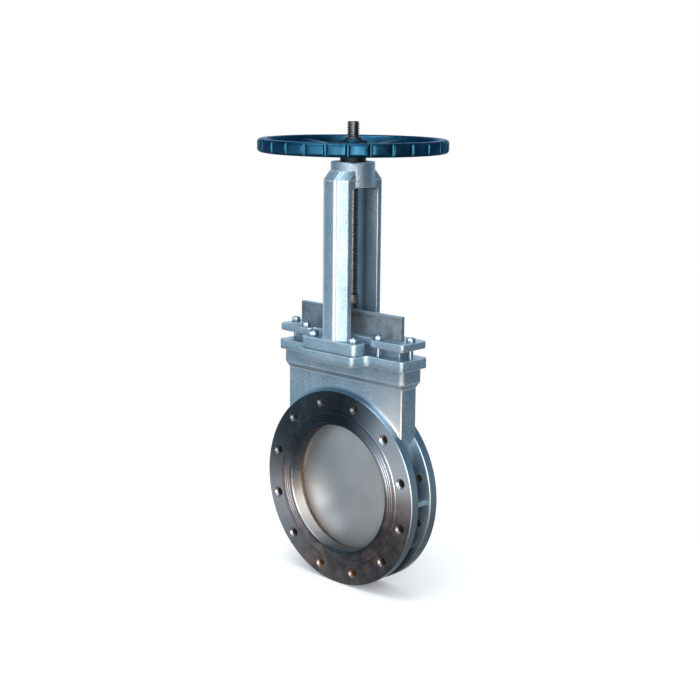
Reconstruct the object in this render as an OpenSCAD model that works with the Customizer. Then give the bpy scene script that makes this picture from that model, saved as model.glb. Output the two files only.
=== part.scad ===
// Wafer knife gate valve, DN 300, with a rising stem and a handwheel, gate closed.
// X runs across the valve, Y along the pipe, Z up the stem, all in millimetres.
// The origin is the centre of the front bolt circle, on the outer face of the flange.

/* [Flanges and port] */
// Diameter of the port
port_d = 295; // [285:1:300]
// Distance between the outer faces of the two flanges
flange_span = 85; // [82:1:106]
// Thickness of each flange
flange_t = 23; // [20:0.5:26]
// Distance from the chest's side to the bolt circle
bolt_clear = 23.5; // [22:0.5:30]
// Distance from the bolt circle to the flange's edge
bolt_edge = 27.5; // [22:0.5:32]
// Width of each raised sealing face
raised_face_w = 33.5; // [28:0.5:36]
// Height of the raised sealing faces
raised_face_h = 1.5; // [1:0.5:3]
// Number of bolt holes in each flange
bolt_count = 12; // [8:4:16]
// Tapping size of the bolt holes
bolt_hole_d = 17.5; // [14:0.5:21]
// Depth of the blind bolt holes in front of the chest
blind_depth = 26; // [20:1:30]
// Chamfer on the rims of the flanges
rim_chamfer = 1.5; // [0.5:0.5:3]
// Number of sealing grooves in each raised face
groove_count = 3; // [1:1:4]
// Depth of a sealing groove
groove_depth = 0.8; // [0.4:0.2:1.2]
// Distance between sealing grooves
groove_pitch = 6; // [4:0.5:6]
// Chamfer round the mouths of the port
mouth_chamfer = 2; // [0.5:0.5:3]

/* [Chest] */
// Metal outside the gate's guides
casing_wall = 16.5; // [11:0.5:18]
// Thickness of the chest
chest_t = 49; // [42:1:54]
// Corner radius of the chest
chest_r = 4; // [2:0.5:8]
// Height of the chest above the flanges, up to where it widens
chest_neck_h = 28.5; // [17:0.5:34]
// Height over which the chest widens
taper_h = 12; // [8:1:20]
// How much wider the packing box is than the chest, on each side
box_step = 9.5; // [4:0.5:11]
// Height of the packing box above the widening
box_h = 31; // [24:0.5:40]
// Radius of the cast fillet between the chest and the flanges
cast_fillet = 9; // [4:1:12]
// Thickness of the ribs between the flanges
rib_t = 11; // [6:1:16]
// How far the ribs reach out from the casing
rib_reach = 36.5; // [20:0.5:42]

/* [Top flange] */
// Thickness of the top flange
top_flange_t = 23.5; // [18:0.5:28]
// How far the top flange's ends stand out beyond the packing box
top_lip_w = 6; // [5:0.5:15]
// How far the top flange's sides stand out beyond the packing box
top_lip_d = 9; // [8:0.5:17]
// Corner radius of the top flange
top_flange_r = 9.5; // [5:0.5:14]
// Height of the machined pads under the yoke's feet
pad_h = 3; // [2:0.5:5]
// How far the pads stand back from the feet
pad_inset = 5; // [3:0.5:8]

/* [Gate] */
// How far the gate reaches past the port on each side
gate_lap = 7.5; // [5:0.5:8]
// Thickness of the gate
gate_t = 10; // [8:0.5:12]
// How far the closed gate stands above the top flange
gate_show_h = 90; // [82:0.5:100]
// How much less the gate rises than the port's diameter
lift_short = 23; // [0:1:30]
// Length of the sharpened edge round the gate's foot
knife_l = 6; // [3:0.5:9]
// Thickness of the gate at the sharpened edge
knife_t = 3; // [2:0.5:5]
// Gap between the gate and the seats
seat_gap = 0.3; // [0.2:0.1:0.6]
// Gap between the gate and the walls of its slot
slot_gap = 1.5; // [1:0.1:2.5]
// Thickness of each gate guide
guide_t = 4.5; // [3:0.5:6]
// Gap between the gate and what guides it
guide_gap = 0.5; // [0.3:0.1:1]
// Width of a seat ring's face
seat_w = 8.5; // [6:0.5:9]
// Depth of a seat ring
seat_depth = 9; // [6:0.5:11]

/* [Packing and gland] */
// Width of the packing beyond the gate's edges
packing_end = 9; // [8:0.5:11]
// Width of the packing beside the gate's faces
packing_side = 14; // [12:0.5:15]
// Height of one packing ring
packing_h = 12; // [10:0.5:13]
// Depth of the packing chamber below the top flange's face
chamber_depth = 58.5; // [52:0.5:62]
// Corner radius of the packing chamber
chamber_r = 4; // [2:0.5:6]
// Height of the gland plate's underside above the top flange
gland_lift = 20.5; // [14:0.5:26]
// Thickness of the gland plate
gland_t = 17; // [12:0.5:22]
// How far the gland plate's ends stand back from the top flange's
gland_back_w = 1.5; // [0:0.5:3]
// How far the gland plate's sides stand back from the top flange's
gland_back_d = 2.5; // [0:0.5:3]
// Depth of the gland plate between the yoke's feet
gland_waist_d = 52; // [48:1:60]
// How far the gland plate's waist runs past the yoke's feet
gland_waist_gap = 8; // [5:1:14]
// Radius of the gland plate's corners
gland_r = 8; // [4:0.5:9]
// Diameter of the gland studs
gland_stud_d = 12; // [10:1:14]
// Distance from the waist's end to the side studs
side_stud_gap = 20; // [14:1:26]
// Distance from the gland plate's side to the side studs
side_stud_edge = 9.5; // [8.5:0.5:10.5]
// Distance from the gland plate's end to the end studs
end_stud_edge = 12; // [11:0.5:15]
// Width of a gland nut across its flats
gland_nut_af = 18; // [17:1:20]
// Height of a gland nut
gland_nut_h = 10; // [8:0.5:12]

/* [Yoke] */
// Width of a yoke foot and of the boss under it
foot_w = 168; // [150:1:176]
// Depth of a yoke foot
foot_d = 42; // [36:1:46]
// Distance from the stem's axis to the outer side of a foot
foot_reach = 79; // [76:1:82]
// Thickness of a yoke foot
foot_t = 24; // [18:1:30]
// How far the top flange's bosses stand out in front of the feet
boss_step = 6; // [0:0.5:8]
// Corner radius of a foot and of its boss
foot_r = 13; // [6:1:16]
// Width of a yoke leg
leg_w = 76; // [66:1:80]
// Depth of a yoke leg
leg_d = 30; // [24:0.5:32]
// Distance from a foot's outer side to the leg's outer face
leg_step = 8; // [5:0.5:10]
// Slanted corner of a leg
leg_chamfer = 17.4; // [12:0.2:20]
// Width of the strip down a leg's outer face
strip_w = 35; // [24:1:38]
// How far the strip stands out
strip_h = 3.5; // [1:0.5:4]
// Radius of the cast corners at the top of the yoke's window
window_r = 12; // [6:1:16]
// Gap between the yoke window's top and the raised gate
window_gap = 1.5; // [1:0.5:10]
// Height from the window's top to a leg's slanted shoulder
shoulder_gap_h = 16; // [12:0.5:20]
// Height of the slanted shoulder
shoulder_h = 20; // [16:1:24]
// Diameter of the yoke's hub
hub_d = 98.5; // [94:0.5:106]
// Height of the yoke's hub
hub_h = 55; // [50:0.5:60]
// Diameter of the yoke studs
yoke_stud_d = 14; // [12:1:16]
// Distance from a foot's end to its stud
yoke_stud_edge = 22; // [14:1:26]
// Width of a yoke nut across its flats
yoke_nut_af = 22; // [20:1:24]
// Height of a yoke nut
yoke_nut_h = 11; // [9:0.5:13]

/* [Stem and clevis] */
// Diameter of the stem over its thread
stem_d = 28; // [26:0.5:30]
// How far the stem stands above the yoke's hub
stem_end_h = 87.5; // [80:0.5:95]
// How far the clevis reaches down over the gate
clevis_lap = 33; // [28:0.5:38]
// Space between the gate's top edge and the clevis's head
clevis_arch = 13.5; // [8:0.5:16]
// Height of the clevis's head
clevis_head_h = 19.5; // [16:0.5:22]
// Diameter of the clevis's head
clevis_head_d = 32; // [31:0.5:34]
// Width of the clevis's two tines
tine_w = 20; // [16:1:22]
// Diameter of the bolt through the clevis
clevis_bolt_d = 12; // [8:1:12]
// Diameter of the stem's lower end, held in the clevis
spigot_d = 20; // [16:1:22]
// Diameter of the pin through the stem's lower end
stem_pin_d = 6; // [4:1:8]

/* [Stem nut] */
// Gap round the clevis in the recess that it rises into
recess_gap = 3; // [2:0.5:5]
// Depth of the bearing pocket below the hub's top
pocket_depth = 20; // [18:0.5:22]
// Diameter of the bearing pocket
pocket_d = 72; // [68:1:76]
// Thickness of a thrust washer
washer_t = 4; // [3:0.5:4.5]
// Thickness of the stem nut's collar
collar_t = 6; // [5:0.5:6.5]
// Diameter of the stem nut's neck
neck_d = 58; // [50:1:60]
// Height of the neck above the yoke's hub
neck_h = 12; // [9:0.5:15]
// Diameter of the stem nut where it carries the handwheel
nut_seat_d = 46; // [42:1:48]
// Diameter of the thread for the lock nut
nut_tip_d = 42; // [38:1:44]
// Width of the lock nut across its flats
lock_nut_af = 55; // [50:1:60]
// Height of the lock nut
lock_nut_h = 12; // [9:0.5:14]
// How far the stem nut shows above its lock nut
tip_show_h = 6; // [4:0.5:8]
// Width of the key
key_w = 8; // [6:1:10]
// Height of the key
key_h = 7; // [6:0.5:8]

/* [Handwheel] */
// Diameter of the handwheel over its grips
wheel_d = 422; // [400:1:440]
// Height of the rim
rim_h = 29.5; // [26:0.5:34]
// Width of the rim from inside to outside
rim_w = 24; // [18:1:30]
// Radius of the rim's edges
rim_r = 8; // [4:0.5:10]
// Number of finger grooves round the rim
grip_count = 28; // [20:2:36]
// Angle of the first finger groove from the X axis
grip_turn = 2; // [0:0.5:12]
// Radius of a finger groove
grip_r = 4.5; // [3:0.5:8]
// Depth of a finger groove
grip_depth = 3.5; // [2:0.5:6]
// Number of spokes
spoke_count = 5; // [3:1:6]
// Angle of the first spoke from the X axis
spoke_turn = -46; // [-90:1:90]
// Width of a spoke
spoke_w = 26; // [18:1:32]
// Thickness of a spoke
spoke_t = 13; // [8:0.5:16]
// Diameter of the handwheel's hub
wheel_hub_d = 76; // [68:1:84]
// Height of the handwheel's hub
wheel_hub_h = 24; // [20:0.5:28]
// How much higher the rim's middle lies than the hub's middle
wheel_dish = 10.75; // [6:0.25:14]

/* [Fits] */
// Gap round pressed and pinned pieces
press_gap = 0.1; // [0.05:0.05:0.2]
// Running gap between turning and fixed pieces
run_gap = 0.1; // [0.05:0.05:0.3]
// Gap between the stem and its nut's thread crests
thread_gap = 0.1; // [0.05:0.05:0.3]

/* [Hidden] */
$fn = 96;

// Colours, as the photograph shows the pieces
cast_colour = [0.60, 0.68, 0.72];
steel_colour = [0.62, 0.66, 0.68];
zinc_colour = [0.80, 0.84, 0.86];
bronze_colour = [0.72, 0.53, 0.30];
packing_colour = [0.22, 0.22, 0.23];
dark_steel_colour = [0.16, 0.19, 0.22];
wheel_colour = [0.04, 0.22, 0.38];

// How far a cut runs past the faces that it opens
over = 1;
// Chamfer of a nut's corners and a stud's end, as a share of its width
corner_share = 0.08;
// Round face of a nut, as a share of its width
face_share = 0.95;

// Gate, guides and casing, across the valve
port_r = port_d / 2;
gate_r = port_r + gate_lap;
gate_w = 2 * gate_r;
slot_r = gate_r + guide_gap;
guide_slot_x = slot_r + guide_t;
casing_r = guide_slot_x + casing_wall;
chest_w = 2 * casing_r;

// Flanges, with distances along the pipe counted from the gate's middle
bolt_r = casing_r + bolt_clear;
flange_r = bolt_r + bolt_edge;
face_y = flange_span / 2;
raised_y = face_y + raised_face_h;
gap_y = face_y - flange_t;
bolt_step = 360 / bolt_count;
rib_count = bolt_count / 2 + 1;

// Seats and slot, along the pipe
slot_t = gate_t + 2 * slot_gap;
seat_out_r = port_r + seat_w;
seat_y = gate_t / 2 + seat_gap;

// Chest and packing box, with heights counted from the port's centre
chest_cut_z = flange_r / 2;
chest_top = flange_r + chest_neck_h;
box_foot = chest_top + taper_h;
box_top = box_foot + box_h;
box_w = chest_w + 2 * box_step;
box_d = chest_t + 2 * box_step;
top_face_z = box_top + top_flange_t;
top_flange_w = box_w + 2 * top_lip_w;
top_flange_d = box_d + 2 * top_lip_d;
foot_z = top_face_z + pad_h;
foot_top = foot_z + foot_t;

// Packing
packing_count = 3;
chamber_w = gate_w + 2 * packing_end;
chamber_d = gate_t + 2 * packing_side;
chamber_floor = top_face_z - chamber_depth;
skirt_bottom = chamber_floor + packing_count * packing_h;

// Gland
gland_z = top_face_z + gland_lift;
gland_top = gland_z + gland_t;
gland_w = top_flange_w - 2 * gland_back_w;
gland_d = top_flange_d - 2 * gland_back_d;
gland_waist_w = foot_w + 2 * gland_waist_gap;
side_x = gland_waist_w / 2 + side_stud_gap;
side_y = gland_d / 2 - side_stud_edge;
side_spots = [for (x = [-1, 1], y = [-1, 1]) [x * side_x, y * side_y]];
end_spots = [for (x = [-1, 1]) [x * (gland_w / 2 - end_stud_edge), 0]];
gland_spots = concat(side_spots, end_spots);
// How far a stud shows above its nut, and how deep it is screwed in
stud_end = 1.5;
stud_depth = 18;
// Clearance of a stud in the plate that it clamps
stud_gap = 0.7;

// Gate and yoke
gate_top = top_face_z + gate_show_h;
window_top = gate_top + port_d - lift_short + window_gap;
shoulder_z = window_top + shoulder_gap_h;
hub_top = window_top + hub_h;
leg_out = foot_reach - leg_step;
leg_in = leg_out - leg_d;
// Slant of a leg where it leans in to the hub
lean = 45;
// Hairline step where it starts to lean
lean_inset = 0.05;
yoke_x = foot_w / 2 - yoke_stud_edge;
yoke_y = foot_reach - foot_d / 2;
yoke_spots = [for (x = [-1, 1], y = [-1, 1]) [x * yoke_x, y * yoke_y]];

// Stem and clevis
clevis_foot = gate_top - clevis_lap;
head_z = gate_top + clevis_arch;
head_top = head_z + clevis_head_h;
stem_top = hub_top + stem_end_h;
stem_chamfer = 3;
// How far the tines' outer faces stand back from the head
tine_back = 1.5;
tine_out = clevis_head_d / 2 - tine_back;
clevis_bolt_z = (clevis_foot + gate_top) / 2;
bolt_head_h = 7.5;
bolt_af = 18;
// Metal under the stem's end
spigot_floor = 2;
spigot_foot = head_z + spigot_floor;

// Stem nut, from the pocket's floor upwards
recess_d = clevis_head_d + 2 * recess_gap;
pocket_floor = hub_top - pocket_depth;
washer_gap = 0.1;
collar_z = pocket_floor + washer_t + washer_gap;
collar_top = collar_z + collar_t;
// Gap round the collar in its pocket
collar_gap = 1;
collar_r = pocket_d / 2 - collar_gap;
cap_z = collar_top + washer_gap + washer_t;
cap_hole_r = 3;
cap_hole_at = (pocket_d + neck_d) / 4;
neck_top = hub_top + neck_h;
wheel_top = neck_top + wheel_hub_h;
nut_top = wheel_top + lock_nut_h + tip_show_h;
tip_chamfer = 4;

// Handwheel
wheel_r = wheel_d / 2;
rim_in = wheel_r - rim_w;
hub_mid_z = neck_top + wheel_hub_h / 2;
rim_mid_z = hub_mid_z + wheel_dish;
// How far a spoke runs into the hub and into the rim
spoke_root = 6;
spoke_sink = 4;
// Flat left between a spoke's round edges
spoke_flat = 1;

// Puts what is drawn about the stem's axis and the port's centre into place.
module in_line() {
    translate([0, face_y, 0]) children();
}

// Turns a solid drawn up the Z axis to run along the pipe, towards the front.
module to_front() {
    rotate([90, 0, 0]) children();
}

// Extrudes an outline of X and Z along the pipe, as far to the front as to the rear.
module across(half) {
    translate([0, half, 0]) to_front() linear_extrude(2 * half) children();
}

// Extrudes an outline of Y and Z sideways, as far left as right.
module sideways(half) {
    translate([-half, 0, 0]) rotate([90, 0, 90]) linear_extrude(2 * half) children();
}

// A rectangle with round corners, centred.
module round_rect(w, d, r) {
    square([w - 2 * r, d], center = true);
    square([w, d - 2 * r], center = true);
    for (x = [-1, 1], y = [-1, 1]) translate([x * (w / 2 - r), y * (d / 2 - r)]) circle(r);
}

// The cove that fills an inner corner at the origin, towards +X and +Y.
module cove(r) {
    difference() {
        translate([-over, -over]) square(r + over);
        translate([r, r]) circle(r);
    }
}

// A block whose sides lean out by the same step all round, with conical corners.
module flared_block(w, d, r, step, h) {
    half_w = w / 2;
    half_d = d / 2;
    sideways(half_w - r)
        polygon([[-half_d, 0], [half_d, 0], [half_d + step, h], [-half_d - step, h]]);
    across(half_d - r)
        polygon([[-half_w, 0], [half_w, 0], [half_w + step, h], [-half_w - step, h]]);
    for (x = [-1, 1], y = [-1, 1])
        translate([x * (half_w - r), y * (half_d - r), 0]) cylinder(h = h, r1 = r, r2 = r + step);
}

// A hexagonal nut or bolt head with chamfered corners on its upper face.
module hex_prism(af, h) {
    chamfer = af * corner_share;
    corners = af / cos(30);
    intersection() {
        cylinder(h = h, d = corners, $fn = 6);
        union() {
            cylinder(h = h - chamfer, d = corners + over);
            translate([0, 0, h - chamfer])
                cylinder(h = chamfer, d1 = corners + over, d2 = af * face_share);
        }
    }
}

// A nut with its hole, standing on the XY plane.
module hex_nut(af, h, hole_d) {
    difference() {
        hex_prism(af, h);
        translate([0, 0, -over]) cylinder(h = h + 2 * over, d = hole_d);
    }
}

// A stud with chamfered ends.
module stud(d, z, top) {
    chamfer = d * corner_share;
    translate([0, 0, z]) {
        cylinder(h = top - z - chamfer, d = d);
        translate([0, 0, top - z - chamfer]) cylinder(h = chamfer, d1 = d, d2 = d - 2 * chamfer);
    }
}

// One flange with its raised face, drawn up the Z axis from the valve's middle.
module flange_disc() {
    raised_r = port_r + raised_face_w;
    rotate_extrude() polygon([
        [0, gap_y], [flange_r - rim_chamfer, gap_y], [flange_r, gap_y + rim_chamfer],
        [flange_r, face_y - rim_chamfer], [flange_r - rim_chamfer, face_y],
        [raised_r, face_y], [raised_r - raised_face_h, raised_y], [0, raised_y]
    ]);
}

// The sealing grooves of one raised face.
module sealing_grooves() {
    for (i = [1 : groove_count])
        rotate_extrude() translate([port_r + seat_w / 2 + i * groove_pitch, raised_y])
            polygon([[-groove_depth, over], [-groove_depth, 0], [0, -groove_depth],
                [groove_depth, 0], [groove_depth, over]]);
}

// The bolt holes of one flange: blind where the chest lies behind them.
module bolt_holes() {
    for (i = [0 : bolt_count - 1]) {
        angle = (i + 0.5) * bolt_step;
        x = bolt_r * cos(angle);
        z = bolt_r * sin(angle);
        behind_chest = z > 0 && abs(x) < casing_r;
        depth = behind_chest ? blind_depth : flange_t + over;
        translate([x, z, face_y - depth]) cylinder(h = depth + over, d = bolt_hole_d);
    }
}

// The ribs that tie the two flanges together between the lower bolt holes.
module flange_ribs() {
    for (i = [0 : rib_count - 1])
        rotate([0, i * bolt_step, 0])
            translate([casing_r - over, -gap_y - over, -rib_t / 2])
                cube([rib_reach + over, 2 * (gap_y + over), rib_t]);
}

// The cast fillet where the chest's broad side runs into one flange.
module chest_fillet() {
    intersection() {
        to_front() rotate_extrude() translate([flange_r - over, chest_t / 2 - over])
            difference() {
                square(cast_fillet + over);
                translate([cast_fillet + over, cast_fillet + over]) circle(cast_fillet);
            }
        translate([-casing_r + chest_r, -face_y, chest_cut_z])
            cube([chest_w - 2 * chest_r, face_y, flange_r]);
    }
}

// Outline of the top flange, with a boss before and behind for the yoke.
module top_flange_outline() {
    round_rect(top_flange_w, top_flange_d, top_flange_r);
    round_rect(foot_w, 2 * (foot_reach + boss_step), foot_r);
    for (x = [0, 1], y = [0, 1]) mirror([x, 0]) mirror([0, y])
        translate([foot_w / 2, top_flange_d / 2]) cove(foot_r);
}

// The space that the gate runs in, and the port.
module gate_space() {
    across(slot_t / 2) {
        circle(slot_r, $fn = 180);
        translate([-slot_r, 0]) square([2 * slot_r, chamber_floor + over]);
    }
    across(slot_t / 2) for (x = [-1, 1])
        translate([x > 0 ? slot_r - over : -guide_slot_x, 0])
            square([guide_t + over, chamber_floor]);
    translate([0, 0, chamber_floor]) linear_extrude(top_face_z - chamber_floor + over)
        round_rect(chamber_w, chamber_d, chamber_r);
    to_front() translate([0, 0, -raised_y - over])
        cylinder(h = 2 * (raised_y + over), r = port_r, $fn = 180);
    for (side = [0, 1]) mirror([0, side, 0]) to_front() translate([0, 0, raised_y - mouth_chamfer])
        cylinder(h = mouth_chamfer + over, r1 = port_r, r2 = port_r + mouth_chamfer + over, $fn = 180);
    to_front() translate([0, 0, -seat_y - seat_depth])
        cylinder(h = 2 * (seat_y + seat_depth), r = seat_out_r + press_gap, $fn = 180);
}

module body() {
    color(cast_colour) in_line() difference() {
        union() {
            to_front() flange_disc();
            mirror([0, 1, 0]) to_front() flange_disc();
            across(chest_t / 2) {
                circle(casing_r, $fn = 180);
                translate([-casing_r, 0]) square([chest_w, chest_cut_z]);
            }
            translate([0, 0, chest_cut_z - over]) linear_extrude(chest_top - chest_cut_z + over)
                round_rect(chest_w, chest_t, chest_r);
            translate([0, 0, chest_top]) flared_block(chest_w, chest_t, chest_r, box_step, taper_h);
            translate([0, 0, box_foot]) linear_extrude(box_h + over)
                round_rect(box_w, box_d, chest_r + box_step);
            translate([0, 0, box_top]) linear_extrude(top_flange_t) top_flange_outline();
            translate([0, 0, top_face_z - over]) linear_extrude(pad_h + over)
                for (y = [-1, 1]) translate([0, y * yoke_y])
                    round_rect(foot_w - 2 * pad_inset, foot_d - 2 * pad_inset, foot_r - pad_inset);
            flange_ribs();
            chest_fillet();
            mirror([0, 1, 0]) chest_fillet();
        }
        gate_space();
        for (side = [0, 1]) mirror([0, side, 0]) to_front() {
            bolt_holes();
            sealing_grooves();
        }
        for (p = gland_spots) translate([p[0], p[1], top_face_z - stud_depth])
            cylinder(h = stud_depth + over, d = gland_stud_d + 2 * press_gap);
        for (p = yoke_spots) translate([p[0], p[1], foot_z - stud_depth])
            cylinder(h = stud_depth + over, d = yoke_stud_d + 2 * press_gap);
    }
}

// One seat ring, drawn up the Z axis.
module seat_ring() {
    edge = 1;
    rotate_extrude($fn = 180) polygon([
        [port_r, seat_y + edge], [port_r + edge, seat_y], [seat_out_r, seat_y],
        [seat_out_r, seat_y + seat_depth], [port_r, seat_y + seat_depth]
    ]);
}

module front_seat_ring() {
    color(bronze_colour) in_line() to_front() seat_ring();
}

module rear_seat_ring() {
    color(bronze_colour) in_line() mirror([0, 1, 0]) to_front() seat_ring();
}

// Two strips that guide the gate's sides.
module gate_guides() {
    color(bronze_colour) in_line() for (side = [-1, 1])
        translate([side > 0 ? slot_r : -guide_slot_x, -slot_t / 2, 0])
            cube([guide_t, slot_t, chamber_floor]);
}

// One square ring of packing round the gate; n counts from the lowest.
module packing_ring(n) {
    color(packing_colour) in_line() translate([0, 0, chamber_floor + n * packing_h])
        linear_extrude(packing_h) difference() {
            round_rect(chamber_w, chamber_d, chamber_r);
            square([gate_w + 2 * guide_gap, gate_t + 2 * seat_gap], center = true);
        }
}

// Outline of the gland plate, with a waist between the yoke's feet.
module gland_outline() {
    end_w = (gland_w - gland_waist_w) / 2;
    square([gland_waist_w + 2 * gland_r, gland_waist_d], center = true);
    for (x = [-1, 1]) translate([x * (gland_w - end_w) / 2, 0]) round_rect(end_w, gland_d, gland_r);
    for (x = [0, 1], y = [0, 1]) mirror([x, 0]) mirror([0, y])
        translate([gland_waist_w / 2, gland_waist_d / 2]) mirror([1, 0]) cove(gland_r);
}

module gland() {
    gate_slot = [gate_w + 4 * guide_gap, gate_t + 4 * guide_gap];
    color(cast_colour) in_line() difference() {
        union() {
            translate([0, 0, gland_z]) linear_extrude(gland_t) gland_outline();
            translate([0, 0, skirt_bottom]) linear_extrude(gland_z - skirt_bottom + over)
                round_rect(chamber_w - 2 * guide_gap, chamber_d - 2 * guide_gap, chamber_r);
        }
        translate([0, 0, skirt_bottom - over]) linear_extrude(gland_top - skirt_bottom + 2 * over)
            square(gate_slot, center = true);
        for (p = gland_spots) translate([p[0], p[1], gland_z - over])
            cylinder(h = gland_t + 2 * over, d = gland_stud_d + 2 * stud_gap);
    }
}

module gland_studs() {
    color(steel_colour) in_line() for (p = gland_spots) translate([p[0], p[1], 0])
        stud(gland_stud_d, top_face_z - stud_depth, gland_top + gland_nut_h + stud_end);
}

module gland_nuts() {
    color(zinc_colour) in_line() for (p = gland_spots) translate([p[0], p[1], gland_top])
        rotate(30) hex_nut(gland_nut_af, gland_nut_h, gland_stud_d + 2 * press_gap);
}

// Plan of the front leg, seen from above, from an inner edge out to its strip.
// The squash makes up for a sweep that leans back.
module leg_plan(inner, squash = 1, inset = 0) {
    half = leg_w / 2 - inset;
    out = leg_out - inset;
    side = leg_chamfer - out;
    flat = half - leg_chamfer;
    strip = strip_w / 2 - inset;
    scale([1, squash]) polygon([
        [-half, -inner], [-half, side], [-flat, -out], [-strip, -out],
        [strip_h - strip, -out - strip_h], [strip - strip_h, -out - strip_h],
        [strip, -out], [flat, -out], [half, side], [half, -inner]
    ]);
}

// The front leg: straight up from its foot, then leaning in to the hub.
module front_leg() {
    translate([0, 0, foot_top - over]) linear_extrude(shoulder_z - foot_top + over) leg_plan(leg_in);
    translate([0, 0, window_top]) linear_extrude(shoulder_z - window_top) leg_plan(0);
    intersection() {
        translate([0, 0, shoulder_z]) rotate([-lean, 0, 0]) translate([0, 0, -foot_reach])
            linear_extrude(2 * foot_reach) leg_plan(0, cos(lean), lean_inset);
        translate([-leg_w, -foot_reach, shoulder_z]) cube([2 * leg_w, 2 * foot_reach, shoulder_h]);
    }
    sideways(leg_w / 2) translate([-leg_in, window_top]) mirror([0, 1]) cove(window_r);
}

module foot() {
    translate([0, -yoke_y, foot_z]) linear_extrude(foot_t)
        round_rect(foot_w, foot_d, foot_r);
}

module yoke() {
    edge = 3;
    color(cast_colour) in_line() difference() {
        union() {
            for (side = [0, 1]) mirror([0, side, 0]) {
                front_leg();
                foot();
            }
            translate([0, 0, window_top]) rotate_extrude() {
                square([hub_d / 2 - edge, hub_top - window_top]);
                square([hub_d / 2, hub_top - window_top - edge]);
                translate([hub_d / 2 - edge, hub_top - window_top - edge]) circle(edge);
            }
        }
        translate([0, 0, window_top - over])
            cylinder(h = pocket_floor - window_top + 2 * over, d = recess_d);
        translate([0, 0, pocket_floor]) cylinder(h = pocket_depth + over, d = pocket_d);
        for (p = yoke_spots) translate([p[0], p[1], foot_z - over])
            cylinder(h = foot_t + 2 * over, d = yoke_stud_d + 2 * stud_gap);
    }
}

module yoke_studs() {
    color(steel_colour) in_line() for (p = yoke_spots) translate([p[0], p[1], 0])
        stud(yoke_stud_d, foot_z - stud_depth, foot_top + yoke_nut_h + stud_end);
}

module yoke_nuts() {
    color(zinc_colour) in_line() for (p = yoke_spots) translate([p[0], p[1], foot_top])
        rotate(30) hex_nut(yoke_nut_af, yoke_nut_h, yoke_stud_d + 2 * press_gap);
}

// A flat bearing ring in the yoke's pocket.
module thrust_washer(z, hole_d) {
    color(bronze_colour) in_line() translate([0, 0, z]) difference() {
        cylinder(h = washer_t, d = pocket_d - 2 * press_gap);
        translate([0, 0, -over]) cylinder(h = washer_t + 2 * over, d = hole_d);
    }
}

module lower_thrust_washer() {
    thrust_washer(pocket_floor, recess_d);
}

module upper_thrust_washer() {
    thrust_washer(collar_top + washer_gap, neck_d + 2 * run_gap);
}

// The ring screwed into the hub's top, with holes for a pin spanner.
module bearing_cap() {
    color(dark_steel_colour) in_line() difference() {
        translate([0, 0, cap_z]) cylinder(h = hub_top - cap_z, d = pocket_d - 2 * press_gap);
        translate([0, 0, cap_z - over]) cylinder(h = pocket_depth, d = neck_d + 2 * run_gap);
        for (angle = [0, 180]) rotate(angle) translate([cap_hole_at, 0, (cap_z + hub_top) / 2])
            cylinder(h = pocket_depth, r = cap_hole_r);
    }
}

// The bronze nut that the handwheel turns and the stem climbs through.
module stem_nut() {
    color(bronze_colour) in_line() difference() {
        rotate_extrude() polygon([
            [0, collar_z], [collar_r, collar_z], [collar_r, collar_top], [neck_d / 2, collar_top],
            [neck_d / 2, neck_top], [nut_seat_d / 2, neck_top], [nut_seat_d / 2, wheel_top],
            [nut_tip_d / 2, wheel_top], [nut_tip_d / 2, nut_top - tip_chamfer],
            [nut_tip_d / 2 - tip_chamfer, nut_top], [0, nut_top]
        ]);
        translate([0, 0, collar_z - over])
            cylinder(h = nut_top - collar_z + 2 * over, d = stem_d + 2 * thread_gap);
        key_space();
    }
}

// The space of the key, half in the stem nut and half in the handwheel.
module key_space(extra = 0) {
    translate([nut_seat_d / 2 - key_h / 2, -key_w / 2, neck_top - extra])
        cube([key_h, key_w, wheel_hub_h + 2 * extra]);
}

module wheel_key() {
    color(steel_colour) in_line() key_space();
}

// A rectangle with round corners, for the rim's section.
module rim_section() {
    translate([rim_in + rim_w / 2, rim_mid_z]) round_rect(rim_w, rim_h, rim_r);
}

// One spoke with rounded edges, from the hub up to the rim.
module spoke() {
    slope = atan(wheel_dish / (rim_in - wheel_hub_d / 2));
    inner = wheel_hub_d / 2 - spoke_root;
    translate([inner, 0, hub_mid_z]) rotate([0, -slope, 0])
        rotate([90, 0, 90]) linear_extrude(rim_in + spoke_sink - inner)
        round_rect(spoke_w, spoke_t, (spoke_t - spoke_flat) / 2);
}

module handwheel() {
    edge = 2;
    color(wheel_colour) in_line() difference() {
        union() {
            difference() {
                rotate_extrude($fn = 180) rim_section();
                for (i = [0 : grip_count - 1]) rotate(grip_turn + i * 360 / grip_count)
                    translate([wheel_r + grip_r - grip_depth, 0, rim_mid_z - rim_h])
                    cylinder(h = 2 * rim_h, r = grip_r);
            }
            for (i = [0 : spoke_count - 1]) rotate(spoke_turn + i * 360 / spoke_count) spoke();
            rotate_extrude() polygon([
                [0, neck_top], [wheel_hub_d / 2 - edge, neck_top], [wheel_hub_d / 2, neck_top + edge],
                [wheel_hub_d / 2, wheel_top - edge], [wheel_hub_d / 2 - edge, wheel_top], [0, wheel_top]
            ]);
        }
        translate([0, 0, neck_top - over])
            cylinder(h = wheel_hub_h + 2 * over, d = nut_seat_d + 2 * press_gap);
        key_space(over);
    }
}

module wheel_lock_nut() {
    color(wheel_colour) in_line() translate([0, 0, wheel_top])
        hex_nut(lock_nut_af, lock_nut_h, nut_tip_d + 2 * press_gap);
}

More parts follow.
